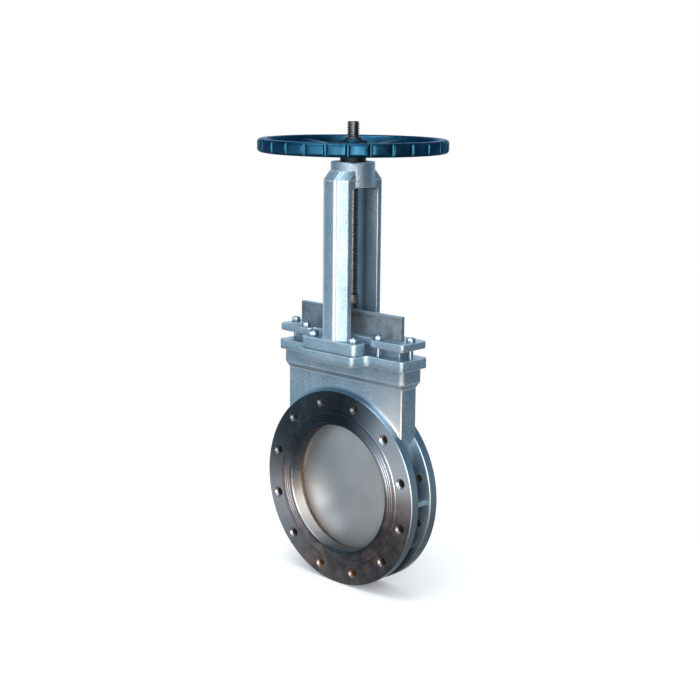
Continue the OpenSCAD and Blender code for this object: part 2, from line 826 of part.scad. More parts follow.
// The blade, whose foot is ground to an edge.
module gate() {
    color(steel_colour) in_line() difference() {
        union() {
            translate([-gate_r, -gate_t / 2, 0]) cube([gate_w, gate_t, gate_top]);
            intersection() {
                to_front() rotate_extrude($fn = 180) polygon([
                    [0, -gate_t / 2], [gate_r - knife_l, -gate_t / 2], [gate_r, -knife_t / 2],
                    [gate_r, knife_t / 2], [gate_r - knife_l, gate_t / 2], [0, gate_t / 2]
                ]);
                translate([-gate_w, -gate_t, -gate_w]) cube([2 * gate_w, 2 * gate_t, gate_w + over]);
            }
        }
        translate([0, 0, clevis_bolt_z]) to_front() translate([0, 0, -gate_t])
            cylinder(h = 2 * gate_t, d = clevis_bolt_d + 2 * press_gap);
    }
}

// The fork that joins the stem to the gate.
module clevis() {
    jaw = gate_t + 2 * press_gap;
    color(dark_steel_colour) in_line() difference() {
        union() {
            translate([0, 0, head_z]) cylinder(h = clevis_head_h, d = clevis_head_d);
            translate([-tine_w / 2, -tine_out, clevis_foot])
                cube([tine_w, 2 * tine_out, head_z - clevis_foot + over]);
        }
        translate([-tine_w, -jaw / 2, clevis_foot - over])
            cube([2 * tine_w, jaw, head_z - clevis_foot + over]);
        translate([0, 0, spigot_foot]) cylinder(h = clevis_head_h, d = spigot_d + 2 * press_gap);
        translate([0, 0, clevis_bolt_z]) to_front() translate([0, 0, -clevis_head_d])
            cylinder(h = 2 * clevis_head_d, d = clevis_bolt_d + 2 * press_gap);
        stem_pin_space(press_gap);
    }
}

// The cross pin through the clevis's head and the stem's end.
module stem_pin_space(gap) {
    translate([-clevis_head_d / 2 - gap, 0, (spigot_foot + head_top) / 2]) rotate([0, 90, 0])
        cylinder(h = clevis_head_d + 2 * gap, d = stem_pin_d + 2 * gap);
}

module clevis_bolt() {
    color(zinc_colour) in_line() translate([0, 0, clevis_bolt_z]) to_front() {
        translate([0, 0, -tine_out - bolt_head_h - 2 * stud_end])
            cylinder(h = 2 * tine_out + bolt_head_h + 2 * stud_end, d = clevis_bolt_d);
        translate([0, 0, tine_out]) hex_prism(bolt_af, bolt_head_h);
    }
}

module clevis_nut() {
    color(zinc_colour) in_line() translate([0, tine_out, clevis_bolt_z]) rotate([-90, 0, 0])
        hex_nut(bolt_af, bolt_head_h, clevis_bolt_d + 2 * press_gap);
}

// The rising stem; its thread is left plain here.
module stem() {
    color(dark_steel_colour) in_line() difference() {
        rotate_extrude() polygon([
            [0, spigot_foot], [spigot_d / 2, spigot_foot], [spigot_d / 2, head_top],
            [stem_d / 2, head_top], [stem_d / 2, stem_top - stem_chamfer],
            [stem_d / 2 - stem_chamfer, stem_top], [0, stem_top]
        ]);
        stem_pin_space(press_gap);
    }
}

module stem_pin() {
    color(steel_colour) in_line() stem_pin_space(0);
}

body();
front_seat_ring();
rear_seat_ring();
gate_guides();
packing_ring(0);  // packing_ring_lower
packing_ring(1);  // packing_ring_middle
packing_ring(2);  // packing_ring_upper
gland();
gland_studs();
gland_nuts();
yoke();
yoke_studs();
yoke_nuts();
lower_thrust_washer();
upper_thrust_washer();
bearing_cap();
stem_nut();
wheel_key();
handwheel();
wheel_lock_nut();
gate();
clevis();
clevis_bolt();
clevis_nut();
stem();
stem_pin();
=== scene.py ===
"""Finishes, threads, camera and light for a wafer knife gate valve."""
import math
from collections import namedtuple
import bmesh
import bpy
from mathutils import Matrix, Vector


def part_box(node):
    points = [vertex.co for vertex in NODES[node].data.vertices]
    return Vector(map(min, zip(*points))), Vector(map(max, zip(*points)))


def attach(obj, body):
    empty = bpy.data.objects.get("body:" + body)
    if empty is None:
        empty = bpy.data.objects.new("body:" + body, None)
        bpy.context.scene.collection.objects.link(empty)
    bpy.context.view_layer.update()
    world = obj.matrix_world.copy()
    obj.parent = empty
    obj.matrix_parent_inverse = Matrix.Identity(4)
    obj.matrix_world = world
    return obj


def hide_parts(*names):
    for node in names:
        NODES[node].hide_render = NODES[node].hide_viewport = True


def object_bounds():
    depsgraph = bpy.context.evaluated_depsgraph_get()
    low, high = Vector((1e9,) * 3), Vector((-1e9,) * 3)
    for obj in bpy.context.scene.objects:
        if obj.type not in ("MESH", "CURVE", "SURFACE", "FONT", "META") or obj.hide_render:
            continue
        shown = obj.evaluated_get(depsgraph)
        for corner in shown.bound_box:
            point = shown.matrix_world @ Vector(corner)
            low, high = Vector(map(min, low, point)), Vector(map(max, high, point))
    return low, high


bl_info = {
    "name": "Knife gate valve",
    "version": (1, 0, 0),
    "blender": (4, 5, 0),
    "location": "3D View > Sidebar > Gate valve",
    "description": "Dresses the valve's castings, plate, threads and handwheel, and sets the stage",
    "category": "Object",
}

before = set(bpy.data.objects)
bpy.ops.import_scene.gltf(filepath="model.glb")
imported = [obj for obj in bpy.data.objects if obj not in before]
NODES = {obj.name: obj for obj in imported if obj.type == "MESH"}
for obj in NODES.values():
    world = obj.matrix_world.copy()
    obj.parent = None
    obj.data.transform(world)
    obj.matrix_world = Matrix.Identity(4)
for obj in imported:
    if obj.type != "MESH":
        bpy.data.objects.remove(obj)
CAD_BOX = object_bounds()

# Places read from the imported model
FLOOR_HEIGHT = CAD_BOX[0][2]
STEM_LOW, STEM_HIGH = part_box("stem")
STEM_AXIS = (STEM_LOW + STEM_HIGH) / 2
CLEVIS_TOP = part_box("clevis")[1].z
GATE_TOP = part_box("gate")[1].z
FLANGE_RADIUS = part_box("body")[1].x
VALVE_MIDDLE = STEM_AXIS.y
GATE_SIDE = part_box("gate")[1].y - VALVE_MIDDLE
SEAT_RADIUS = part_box("front_seat_ring")[1].x

# A place as the port sees it: X and Z, distance from its axis and from the valve's middle
Spot = namedtuple("Spot", "x z radius depth")

# What tells the body's surfaces apart, in metres
RAISED_RADIUS = 0.183  # just outside the raised faces
SHADE_HEIGHT = -0.05  # below it the painted shade between the flanges gets darker
GAP_DEPTH = 0.0198  # from the valve's middle, a little into the flanges
HOLE_START = 0.010  # from the valve's middle, nearer than any bolt hole
HOLE_MARGIN = 0.0004  # outside a bolt hole's wall
GATE_MARGIN = 0.0002  # beside the gate
PORT_MARGIN = 0.005  # inside the seat rings' outer radius
PATCH_MARGIN = 0.004  # inside the flanges' outer radius
RIM_MARGIN = 0.002  # inside the flanges' outer radius, where the rim's colour starts
RIM_FACE_MARGIN = 0.0016  # inside the flanges' outer radius, over the rim's chamfer
RIM_DEPTH = 0.0232  # from a face, over most of a flange's rim
FACE_DEPTH = 0.005  # from a face, past the countersinks and the raised face's step
RUST_DEPTH = 0.015  # from a face into the bolt holes

ROUNDED_FOLD = math.radians(34)  # edges folded more than this are rounded
SHADED_FOLD = math.radians(38)  # edges still folded more than this are shaded sharp
THREAD_FOLD = math.radians(32)  # the same for threads
WELD = 1e-6  # points within this distance, in metres, are one
RINGS_A_METRE = 900.0
THREAD_ROWS = 6  # rows of points in a turn of a thread
THREAD_INSET = 0.001  # from a countersink to the thread of its hole, in metres


class ValveSizes(bpy.types.PropertyGroup):
    """Sizes of the details that the finishes and threads need"""

    cast_edge: bpy.props.FloatProperty(
        name="Cast edge", description="Rounding of the castings' edges", default=0.002,
        unit="LENGTH")
    nut_edge: bpy.props.FloatProperty(
        name="Nut edge", description="Rounding of the nuts' edges", default=0.0004, unit="LENGTH")
    wheel_edge: bpy.props.FloatProperty(
        name="Grip edge", description="Rounding of the handwheel's finger grooves", default=0.0016,
        unit="LENGTH")
    plate_edge: bpy.props.FloatProperty(
        name="Plate edge", description="Rounding of machined edges", default=0.0005, unit="LENGTH")
    stem_lead: bpy.props.FloatProperty(
        name="Stem lead", description="Rise of the stem's thread in one turn", default=0.005,
        unit="LENGTH")
    stem_depth: bpy.props.FloatProperty(
        name="Stem thread depth", description="Depth of the stem's thread", default=0.0024,
        unit="LENGTH")
    spigot_radius: bpy.props.FloatProperty(
        name="Stem end", description="Radius of the stem's plain end in the clevis",
        default=0.010, unit="LENGTH")
    stud_pitch: bpy.props.FloatProperty(
        name="Stud pitch", description="Pitch of the studs' threads", default=0.002, unit="LENGTH")
    stud_depth: bpy.props.FloatProperty(
        name="Stud thread depth", description="Depth of the studs' threads", default=0.0009,
        unit="LENGTH")
    bolt_circle: bpy.props.FloatProperty(
        name="Bolt circle", description="Radius of the flanges' bolt circle", default=0.200,
        unit="LENGTH")
    bolt_count: bpy.props.IntProperty(
        name="Bolt holes", description="Number of tapped holes in each flange", default=12)
    bolt_radius: bpy.props.FloatProperty(
        name="Hole radius", description="Radius of a tapped hole", default=0.00875, unit="LENGTH")
    bolt_depth: bpy.props.FloatProperty(
        name="Thread depth", description="Length of thread in a tapped hole", default=0.018,
        unit="LENGTH")
    bolt_pitch: bpy.props.FloatProperty(
        name="Hole pitch", description="Pitch of the tapped holes' threads", default=0.0025,
        unit="LENGTH")
    mouth_chamfer: bpy.props.FloatProperty(
        name="Hole mouth", description="Countersink of the tapped holes", default=0.0038,
        unit="LENGTH")
    face_depth: bpy.props.FloatProperty(
        name="Face depth", description="Distance from the middle to the flanges' faces",
        default=0.0425, unit="LENGTH")
    window_reach: bpy.props.FloatProperty(
        name="Window reach", description="Distance from the stem to the yoke's legs",
        default=0.0415, unit="LENGTH")
    window_top: bpy.props.FloatProperty(
        name="Window top", description="Height of the hub's underside", default=0.6885,
        unit="LENGTH")


class ValveColours(bpy.types.PropertyGroup):
    """Colours of the finishes"""

    cast_light: bpy.props.FloatVectorProperty(
        name="Casting, light", description="Light tone of the blasted castings", subtype="COLOR",
        default=(0.44, 0.605, 0.735))
    cast_dark: bpy.props.FloatVectorProperty(
        name="Casting, dark", description="Dark tone of the blasted castings", subtype="COLOR",
        default=(0.19, 0.325, 0.445))
    # Partly edge wear, partly a painted highlight on the rounded edges
    edge_wear_and_sheen: bpy.props.FloatVectorProperty(
        name="Casting, edges", description="Castings where their edges are rubbed bright",
        subtype="COLOR", default=(0.70, 0.79, 0.86))
    face_cool: bpy.props.FloatVectorProperty(
        name="Flange face, cool", description="Turned steel, upper part", subtype="COLOR",
        default=(0.055, 0.075, 0.10))
    face_warm: bpy.props.FloatVectorProperty(
        name="Flange face, warm", description="Turned steel, lower part", subtype="COLOR",
        default=(0.42, 0.305, 0.265))
    plate: bpy.props.FloatVectorProperty(
        name="Gate", description="Ground plate", subtype="COLOR", default=(0.47, 0.515, 0.55))
    weathered: bpy.props.FloatVectorProperty(
        name="Gate, weathered", description="Plate that stands in the open", subtype="COLOR",
        default=(0.19, 0.245, 0.29))
    rust: bpy.props.FloatVectorProperty(
        name="Rust", description="Rust in the tapped holes", subtype="COLOR",
        default=(0.22, 0.085, 0.03))
    enamel: bpy.props.FloatVectorProperty(
        name="Handwheel", description="Blue enamel of the handwheel", subtype="COLOR",
        default=(0.0135, 0.084, 0.163))
    stem: bpy.props.FloatVectorProperty(
        name="Stem", description="Greased steel of the stem", subtype="COLOR",
        default=(0.10, 0.12, 0.14))
    fork: bpy.props.FloatVectorProperty(
        name="Clevis", description="Oiled steel of the clevis", subtype="COLOR",
        default=(0.13, 0.135, 0.14))
    zinc: bpy.props.FloatVectorProperty(
        name="Nuts", description="Zinc plating", subtype="COLOR",
        default=(0.32, 0.45, 0.56))
    bronze: bpy.props.FloatVectorProperty(
        name="Bronze", description="Seat rings, guides, nut and washers", subtype="COLOR",
        default=(0.14, 0.10, 0.075))
    # The colour of the painted highlights on the turned flange faces and of the countersinks' faint
    # painted highlight
    painted_sheen_colour: bpy.props.FloatVectorProperty(
        name="Flange face, burnished", description="Turned steel where it is rubbed bright",
        subtype="COLOR", default=(0.52, 0.62, 0.72))
    # The colour of painted highlights: on the gate, low in the port and on the chest
    painted_highlight_colour: bpy.props.FloatVectorProperty(
        name="Gate, polished", description="Plate where it is rubbed bright", subtype="COLOR",
        default=(0.78, 0.80, 0.80))
    # Painted shade between the flanges, behind the stem and low on the flanges' rims; also the
    # blackened steel's own colour
    grime_and_shade: bpy.props.FloatVectorProperty(
        name="Grime", description="Dirt between the flanges", subtype="COLOR",
        default=(0.035, 0.045, 0.055))
    packing: bpy.props.FloatVectorProperty(
        name="Packing", description="Graphite braid", subtype="COLOR", default=(0.03, 0.03, 0.035))
    floor: bpy.props.FloatVectorProperty(
        name="Floor", description="Pale floor", subtype="COLOR", default=(0.94, 0.95, 0.96))
    room_high: bpy.props.FloatVectorProperty(
        name="Room, upper", description="What the metal mirrors above the floor", subtype="COLOR",
        default=(0.035, 0.06, 0.085))
    room_low: bpy.props.FloatVectorProperty(
        name="Room, lower", description="What the metal mirrors below", subtype="COLOR",
        default=(0.12, 0.105, 0.10))
    ambient_high: bpy.props.FloatVectorProperty(
        name="Ambient, upper", description="Soft light from above", subtype="COLOR",
        default=(0.75, 0.78, 0.80))
    ambient_low: bpy.props.FloatVectorProperty(
        name="Ambient, lower", description="Soft light from below", subtype="COLOR",
        default=(0.12, 0.14, 0.17))


class StageSizes(bpy.types.PropertyGroup):
    """Camera and floor"""

    azimuth: bpy.props.FloatProperty(
        name="Azimuth", description="Camera's turn round the valve", default=math.radians(43.57),
        subtype="ANGLE")
    elevation: bpy.props.FloatProperty(
        name="Elevation", description="Camera's height angle", default=math.radians(11.56),
        subtype="ANGLE")
    roll: bpy.props.FloatProperty(
        name="Roll", description="Camera's roll", default=math.radians(0.58), subtype="ANGLE")
    distance: bpy.props.FloatProperty(
        name="Distance", description="Camera's distance", default=3.085, unit="LENGTH")
    lens: bpy.props.FloatProperty(
        name="Lens", description="Focal length in millimetres on a 36 mm wide sensor",
        default=70.05, unit="CAMERA")
    aim_side: bpy.props.FloatProperty(
        name="Aim, sideways", description="Where the camera looks, beside the stem",
        default=-0.0025, unit="LENGTH")
    aim_height: bpy.props.FloatProperty(
        name="Aim, height", description="Where the camera looks, above the port",
        default=0.3166, unit="LENGTH")
    floor_radius: bpy.props.FloatProperty(
        name="Floor radius", description="Radius of the floor", default=1.6, unit="LENGTH")


def settings():
    """The three groups of settings, as the scene holds them."""
    scene = bpy.context.scene
    return scene.valve_sizes, scene.valve_colours, scene.valve_stage


def add(tree, kind, inputs=None, **options):
    """A new node; an input is a plain value or another node's output."""
    node = tree.nodes.new(kind)
    for key, value in options.items():
        setattr(node, key, value)
    for key, value in (inputs or {}).items():
        if isinstance(value, bpy.types.NodeSocket):
            tree.links.new(value, node.inputs[key])
        else:
            node.inputs[key].default_value = value
    return node


def calc(tree, operation, *values):
    """The result of a Math node."""
    return add(tree, "ShaderNodeMath", dict(enumerate(values)), operation=operation).outputs[0]


def product(tree, first, *others):
    """Several numbers multiplied."""
    for other in others:
        first = calc(tree, "MULTIPLY", first, other)
    return first


def hypotenuse(tree, along, beside):
    """The distance that two distances at a right angle make."""
    squares = calc(tree, "MULTIPLY_ADD", along, along, calc(tree, "MULTIPLY", beside, beside))
    return calc(tree, "SQRT", squares)


def split(tree, place):
    """The X, Y and Z of a vector."""
    return add(tree, "ShaderNodeSeparateXYZ", {0: place}).outputs


def vector(tree, x=0.0, y=0.0, z=0.0):
    """A vector from its X, Y and Z."""
    return add(tree, "ShaderNodeCombineXYZ", {0: x, 1: y, 2: z}).outputs[0]


def blend_values(tree, factor, low, high):
    """A number between two others."""
    return add(tree, "ShaderNodeMix", {0: factor, 2: low, 3: high}, data_type="FLOAT").outputs[0]


def blend_colours(tree, factor, low, high, how="MIX"):
    """A colour between two others."""
    low, high = (c if isinstance(c, bpy.types.NodeSocket) else (*c[:3], 1) for c in (low, high))
    return add(tree, "ShaderNodeMix", {0: factor, 6: low, 7: high}, data_type="RGBA",
               blend_type=how).outputs[2]


def ramp(tree, factor, *stops):
    """A number from a ramp of (place, value) stops."""
    node = add(tree, "ShaderNodeValToRGB", {0: factor})
    elements = node.color_ramp.elements
    while len(elements) < len(stops):
        elements.new(0.5)
    for element, (place, value) in zip(elements, stops):
        element.position = place
        element.color = (value, value, value, 1)
    return node.outputs[0]


def two_tone(tree, pattern, dark, light, start=0.3, end=0.7):
    """Dark up to where a pattern reaches start, and light from where it reaches end."""
    return blend_colours(tree, ramp(tree, pattern, (start, 0.0), (end, 1.0)), dark, light)


def shade(colour, factor):
    """A colour made darker or lighter."""
    return tuple(factor * channel for channel in colour)


def stretched(tree, place, factors):
    """Coordinates scaled by a factor along each axis."""
    return add(tree, "ShaderNodeMapping", {"Vector": place, "Scale": factors}).outputs[0]


class Finish:
    """A material with its shader and its object coordinates."""

    def __init__(self, name, **plain):
        self.material = bpy.data.materials.new(name)
        self.material.use_nodes = True
        self.tree = self.material.node_tree
        self.shader = self.tree.nodes["Principled BSDF"]
        self.place = add(self.tree, "ShaderNodeTexCoord").outputs["Object"]
        for key, value in plain.items():
            self.shader.inputs[key.replace("_", " ")].default_value = value

    def noise(self, scale, detail=2.0, roughness=0.5, place=None):
        """Smooth noise from 0 to 1; scale is in lumps per metre."""
        inputs = {"Vector": self.place if place is None else place, "Scale": scale,
                  "Detail": detail, "Roughness": roughness}
        return add(self.tree, "ShaderNodeTexNoise", inputs).outputs["Fac"]

    def link(self, **sockets):
        """Links outputs of nodes to the shader's inputs."""
        for key, socket in sockets.items():
            self.tree.links.new(socket, self.shader.inputs[key.replace("_", " ")])

    def bump(self, height, distance, strength):
        """Lets a height, from 0 to about 1, stand out by a distance."""
        node = add(self.tree, "ShaderNodeBump",
                   {"Height": height, "Distance": distance, "Strength": strength})
        self.link(Normal=node.outputs[0])


def blasted(finish, light, dark):
    """Grain of a shot-blasted casting; returns its colour and roughness."""
    tree = finish.tree
    cloud = finish.noise(16.0, 4.0, 0.6)
    mottle = finish.noise(190.0, 3.0, 0.7)
    grain = finish.noise(520.0, 3.0, 0.65)
    tone = calc(tree, "MULTIPLY_ADD", cloud, 0.4, calc(tree, "MULTIPLY", mottle, 0.6))
    finish.bump(calc(tree, "MULTIPLY_ADD", mottle, 1.6, grain), 0.0009, 0.6)
    return two_tone(tree, tone, dark, light, 0.32, 0.68), blend_values(tree, grain, 0.36, 0.52)


def cast_finish(name, light, dark):
    """Shot-blasted, silver-painted casting."""
    finish = Finish(name, Metallic=0.78)
    colour, roughness = blasted(finish, light, dark)
    finish.link(Base_Color=colour, Roughness=roughness)
    return finish.material


def yoke_finish(sizes, colours):
    """The yoke's casting, with painted shade behind the stem."""
    finish = Finish("yoke_casting", Metallic=0.88)
    tree = finish.tree
    cast, roughness = blasted(finish, colours.cast_light, colours.cast_dark)
    x, y, z = split(tree, finish.place)
    beside = calc(tree, "ABSOLUTE", calc(tree, "SUBTRACT", x, STEM_AXIS.x))
    # Painted shade: the legs' faces between them go dark next to the stem and fade out sideways
    painted_shade = ramp(tree, beside, (0.0, 0.92), (0.028, 0.0))
    in_window = product(tree, calc(tree, "COMPARE", y, VALVE_MIDDLE, sizes.window_reach),
                        calc(tree, "LESS_THAN", z, sizes.window_top))
    amount = product(tree, painted_shade, in_window)
    finish.link(Base_Color=blend_colours(tree, amount, cast, colours.grime_and_shade), Roughness=roughness)
    return finish.material


def around_port(tree, place):
    """A place as the port sees it."""
    x, y, z = split(tree, place)
    depth = calc(tree, "ABSOLUTE", calc(tree, "SUBTRACT", y, VALVE_MIDDLE))
    return Spot(x, z, hypotenuse(tree, x, z), depth)


def hole_distance(tree, spot, sizes):
    """Distance from the nearest bolt hole's axis, for a circle of evenly spaced holes."""
    step = 2 * math.pi / sizes.bolt_count
    turn = calc(tree, "DIVIDE", calc(tree, "ARCTAN2", spot.z, spot.x), step)
    local = product(tree, calc(tree, "SUBTRACT", calc(tree, "FRACT", turn), 0.5), step)
    outward = product(tree, spot.radius, calc(tree, "COSINE", local))
    beside = product(tree, spot.radius, calc(tree, "SINE", local))
    return hypotenuse(tree, calc(tree, "SUBTRACT", outward, sizes.bolt_circle), beside)


def sector(tree, spot, turn, sharpness):
    """How near a spot lies to a direction from the port's axis: 1 on it, less beside it."""
    turn = math.radians(turn)
    along = calc(tree, "MULTIPLY_ADD", spot.x, math.cos(turn),
                 calc(tree, "MULTIPLY", spot.z, math.sin(turn)))
    share = calc(tree, "MAXIMUM", calc(tree, "DIVIDE", along, spot.radius), 0.0)
    return calc(tree, "POWER", share, sharpness)


def shade_between(tree, spot, blotch):
    """Painted shade in the space between the flanges, blotchy, most of it deep inside and low down.
    """
    inward = calc(tree, "MAXIMUM", calc(tree, "SUBTRACT", FLANGE_RADIUS, spot.radius), 0.0)
    low = calc(tree, "MAXIMUM", calc(tree, "SUBTRACT", SHADE_HEIGHT, spot.z), 0.0)
    low = product(tree, low, 4.0)
    inner_shade = product(tree, inward, 16.0, calc(tree, "ADD", blotch, 0.6),
                         calc(tree, "ADD", low, 0.55))
    low_shade = product(tree, low, calc(tree, "ADD", blotch, 0.4))
    between = calc(tree, "LESS_THAN", spot.depth, GAP_DEPTH)
    return product(tree, between, calc(tree, "ADD", inner_shade, low_shade))


def painted_chest_highlight(tree, spot):
    """A painted highlight on the chest's front and back faces, above the flanges and towards +X."""
    normal = add(tree, "ShaderNodeTexCoord").outputs["Normal"]
    facing = calc(tree, "ABSOLUTE", split(tree, normal)["Y"])
    return product(tree, ramp(tree, spot.x, (0.06, 0.0), (0.15, 0.9)),
                   ramp(tree, spot.z, (0.17, 1.0), (0.30, 0.0)),
                   calc(tree, "GREATER_THAN", facing, 0.5),
                   calc(tree, "GREATER_THAN", spot.radius, FLANGE_RADIUS - PATCH_MARGIN))


def rust_amount(tree, spot, sizes, speckle, start):
    """Rust in the lowest bolt holes near the faces, where a speckle is strong."""
    outer = calc(tree, "GREATER_THAN", spot.depth, sizes.face_depth - RUST_DEPTH)
    strength = calc(tree, "MULTIPLY_ADD", spot.z, -7.7, calc(tree, "SUBTRACT", speckle, 1.13))
    return product(tree, outer, ramp(tree, strength, (start, 0.0), (0.8, 1.0)))


def body_finish(sizes, colours):
    """The body: blasted outside, with a painted highlight on the chest and painted shade between
    the flanges, rusty in the holes.
    """
    finish = Finish("body_casting")
    tree = finish.tree
    spot = around_port(tree, finish.place)
    cast, roughness = blasted(finish, colours.cast_light, colours.cast_dark)
    # Painted highlight on the chest
    cast = blend_colours(tree, painted_chest_highlight(tree, spot), cast, colours.painted_highlight_colour)
    # Painted shade between the flanges, blotchy
    shade_amount = shade_between(tree, spot, finish.noise(30.0, 4.0, 0.65))
    cast_with_shade = blend_colours(tree, ramp(tree, shade_amount, (0.1, 0.0), (0.55, 0.9)), cast, colours.grime_and_shade)
    rust = rust_amount(tree, spot, sizes, finish.noise(260.0, 3.0, 0.7), 0.5)
    hole_tone = blend_colours(tree, rust, colours.fork, colours.rust)
    hole = hole_distance(tree, spot, sizes)
    in_hole = product(tree, calc(tree, "LESS_THAN", hole, sizes.bolt_radius + HOLE_MARGIN),
                      calc(tree, "GREATER_THAN", spot.depth, HOLE_START))
    finish.link(Base_Color=blend_colours(tree, in_hole, cast_with_shade, hole_tone),
                Metallic=blend_values(tree, in_hole, 0.82, 0.25),
                Roughness=blend_values(tree, in_hole, roughness, 0.8))
    return finish.material


def face_tone(finish, spot, stain, rings, colours):
    """Turned steel, cool above and warm below, smudged, and with painted shade over the top."""
    tree = finish.tree
    warmth = calc(tree, "MULTIPLY_ADD", spot.z, -1.5, calc(tree, "MULTIPLY_ADD", stain, 1.1, -0.18))
    in_face = calc(tree, "GREATER_THAN", spot.radius, SEAT_RADIUS)
    warmth = product(tree, warmth, blend_values(tree, in_face, 0.55, 1.0))
    steel = two_tone(tree, warmth, colours.face_cool, colours.face_warm, 0.25, 0.8)
    steel = blend_colours(tree, product(tree, rings, 0.25), steel, colours.cast_light)
    smudge = ramp(tree, finish.noise(34.0, 6.0, 0.72), (0.38, 0.55), (0.6, 0.0))
    steel = blend_colours(tree, smudge, steel, shade(colours.face_cool, 0.4))
    # Painted shade: the faces darken towards the top
    shaded = product(tree, sector(tree, spot, 90, 6.0), 0.8)
    return blend_colours(tree, shaded, steel, shade(colours.face_cool, 0.2))


def painted_sheen(tree, spot, rings, colours):
    """Amount and colour of painted highlights on turned steel: fans on both sides of the faces, and
    one in the port.
    """
    sides = calc(tree, "MULTIPLY_ADD", sector(tree, spot, 31, 12.0), 2.0,
                 calc(tree, "MULTIPLY", sector(tree, spot, 203, 7.0), 0.72))
    raised = calc(tree, "LESS_THAN", spot.radius, RAISED_RADIUS)
    sides = product(tree, sides, blend_values(tree, raised, 1.0, 0.45))
    in_port = calc(tree, "LESS_THAN", spot.radius, SEAT_RADIUS - PORT_MARGIN)
    port = product(tree, sector(tree, spot, 221, 9.0), 0.8)
    amount = product(tree, blend_values(tree, in_port, sides, port),
                     calc(tree, "MULTIPLY_ADD", rings, 0.8, 0.6))
    return amount, blend_colours(tree, in_port, colours.painted_sheen_colour, colours.painted_highlight_colour)


def rim_tone(tree, spot, stain, colours):
    """The flanges' turned rims, with painted shade low down."""
    steel = blend_colours(tree, stain, colours.cast_dark, colours.cast_light)
    # Painted shade: darker towards the bottom
    shade_amount = ramp(tree, product(tree, spot.z, -1.0), (0.08, 0.0), (0.2, 0.75))
    return blend_colours(tree, shade_amount, steel, colours.grime_and_shade)


def turned_finish(sizes, colours):
    """Steel turned on a lathe: fine rings, gloss drawn out across them, and painted highlights and
    shade.
    """
    finish = Finish("turned_steel", Metallic=1.0, Anisotropic=0.75)
    tree = finish.tree
    spot = around_port(tree, finish.place)
    stain = finish.noise(7.0, 3.0, 0.55)
    rings = finish.noise(1.0, 3.0, 0.7, vector(tree, product(tree, spot.radius, RINGS_A_METRE)))
    # Painted highlights: fans across the faces and one low in the port
    amount, bright = painted_sheen(tree, spot, rings, colours)
    steel = blend_colours(tree, amount, face_tone(finish, spot, stain, rings, colours), bright)
    # A faint painted highlight: the countersinks lightened a little
    mouth = calc(tree, "LESS_THAN", hole_distance(tree, spot, sizes),
                 sizes.bolt_radius + sizes.mouth_chamfer + HOLE_MARGIN)
    steel = blend_colours(tree, product(tree, mouth, 0.12), steel, colours.painted_sheen_colour)
    rim = calc(tree, "GREATER_THAN", spot.radius, FLANGE_RADIUS - RIM_MARGIN)
    finish.link(Base_Color=blend_colours(tree, rim, steel, rim_tone(tree, spot, stain, colours)),
                Roughness=blend_values(tree, rings, 0.28, 0.46),
                Tangent=vector(tree, spot.x, 1.0, spot.z))
    finish.bump(rings, 0.0001, 0.5)
    return finish.material


def plate_finish(colours):
    """The gate: ground plate with a fine vertical grain, weathered and worn at its top, with a
    painted highlight low on the left.
    """
    finish = Finish("ground_plate", Metallic=0.7)
    tree = finish.tree
    spot = around_port(tree, finish.place)
    streak = finish.noise(1.0, 3.0, 0.6, stretched(tree, finish.place, (260.0, 260.0, 14.0)))
    cloud = finish.noise(9.0, 3.0, 0.6)
    tone = calc(tree, "MULTIPLY_ADD", streak, 0.25, product(tree, cloud, 0.75))
    ground = two_tone(tree, tone, shade(colours.plate, 0.88), shade(colours.plate, 1.1))
    stained = two_tone(tree, finish.noise(42.0, 5.0, 0.7), shade(colours.weathered, 0.78),
                       shade(colours.weathered, 1.35), 0.35, 0.62)
    from_top = calc(tree, "SUBTRACT", GATE_TOP, spot.z)
    in_open = ramp(tree, calc(tree, "MULTIPLY_ADD", from_top, -8.0, 1.5), (0.4, 0.0), (0.6, 1.0))
    colour = blend_colours(tree, in_open, ground, stained)
    # Painted highlight: a crescent in the port's lower left
    crescent = product(tree, ramp(tree, spot.radius, (0.045, 0.0), (0.118, 1.0)),
                       sector(tree, spot, 208, 5.0))
    colour = blend_colours(tree, crescent, colour, colours.painted_highlight_colour)
    worn = ramp(tree, calc(tree, "MULTIPLY_ADD", from_top, -120.0, 0.86), (0.35, 0.0), (0.65, 0.7))
    finish.link(Base_Color=blend_colours(tree, worn, colour, colours.zinc),
                Roughness=blend_values(tree, tone, 0.34, 0.46))
    finish.bump(streak, 0.0001, 0.3)
    return finish.material


def steel_finish(name, colour, rough, scale, metallic=0.9, spread=0.25):
    """Plain metal with cloudy tone and a light grain."""
    finish = Finish(name, Metallic=metallic)
    tree = finish.tree
    cloud = finish.noise(scale, 4.0, 0.6)
    tone = two_tone(tree, cloud, shade(colour, 1 - spread), shade(colour, 1 + spread))
    finish.link(Base_Color=tone, Roughness=blend_values(tree, cloud, rough - 0.06, rough + 0.1))
    finish.bump(cloud, 0.0002, 0.35)
    return finish.material


def enamel_finish(colours):
    """Glossy blue enamel on a cast handwheel, with a slight orange peel."""
    finish = Finish("blue_enamel", Metallic=0.95, Coat_Weight=0.05, Coat_Roughness=0.2,
                    Specular_Tint=(0.25, 0.35, 0.45, 1))
    tree = finish.tree
    cloud = finish.noise(22.0, 3.0, 0.6)
    tone = two_tone(tree, cloud, shade(colours.enamel, 0.55), shade(colours.enamel, 1.35))
    finish.link(Base_Color=tone, Roughness=blend_values(tree, cloud, 0.30, 0.42))
    finish.bump(finish.noise(240.0), 0.0003, 0.2)
    return finish.material


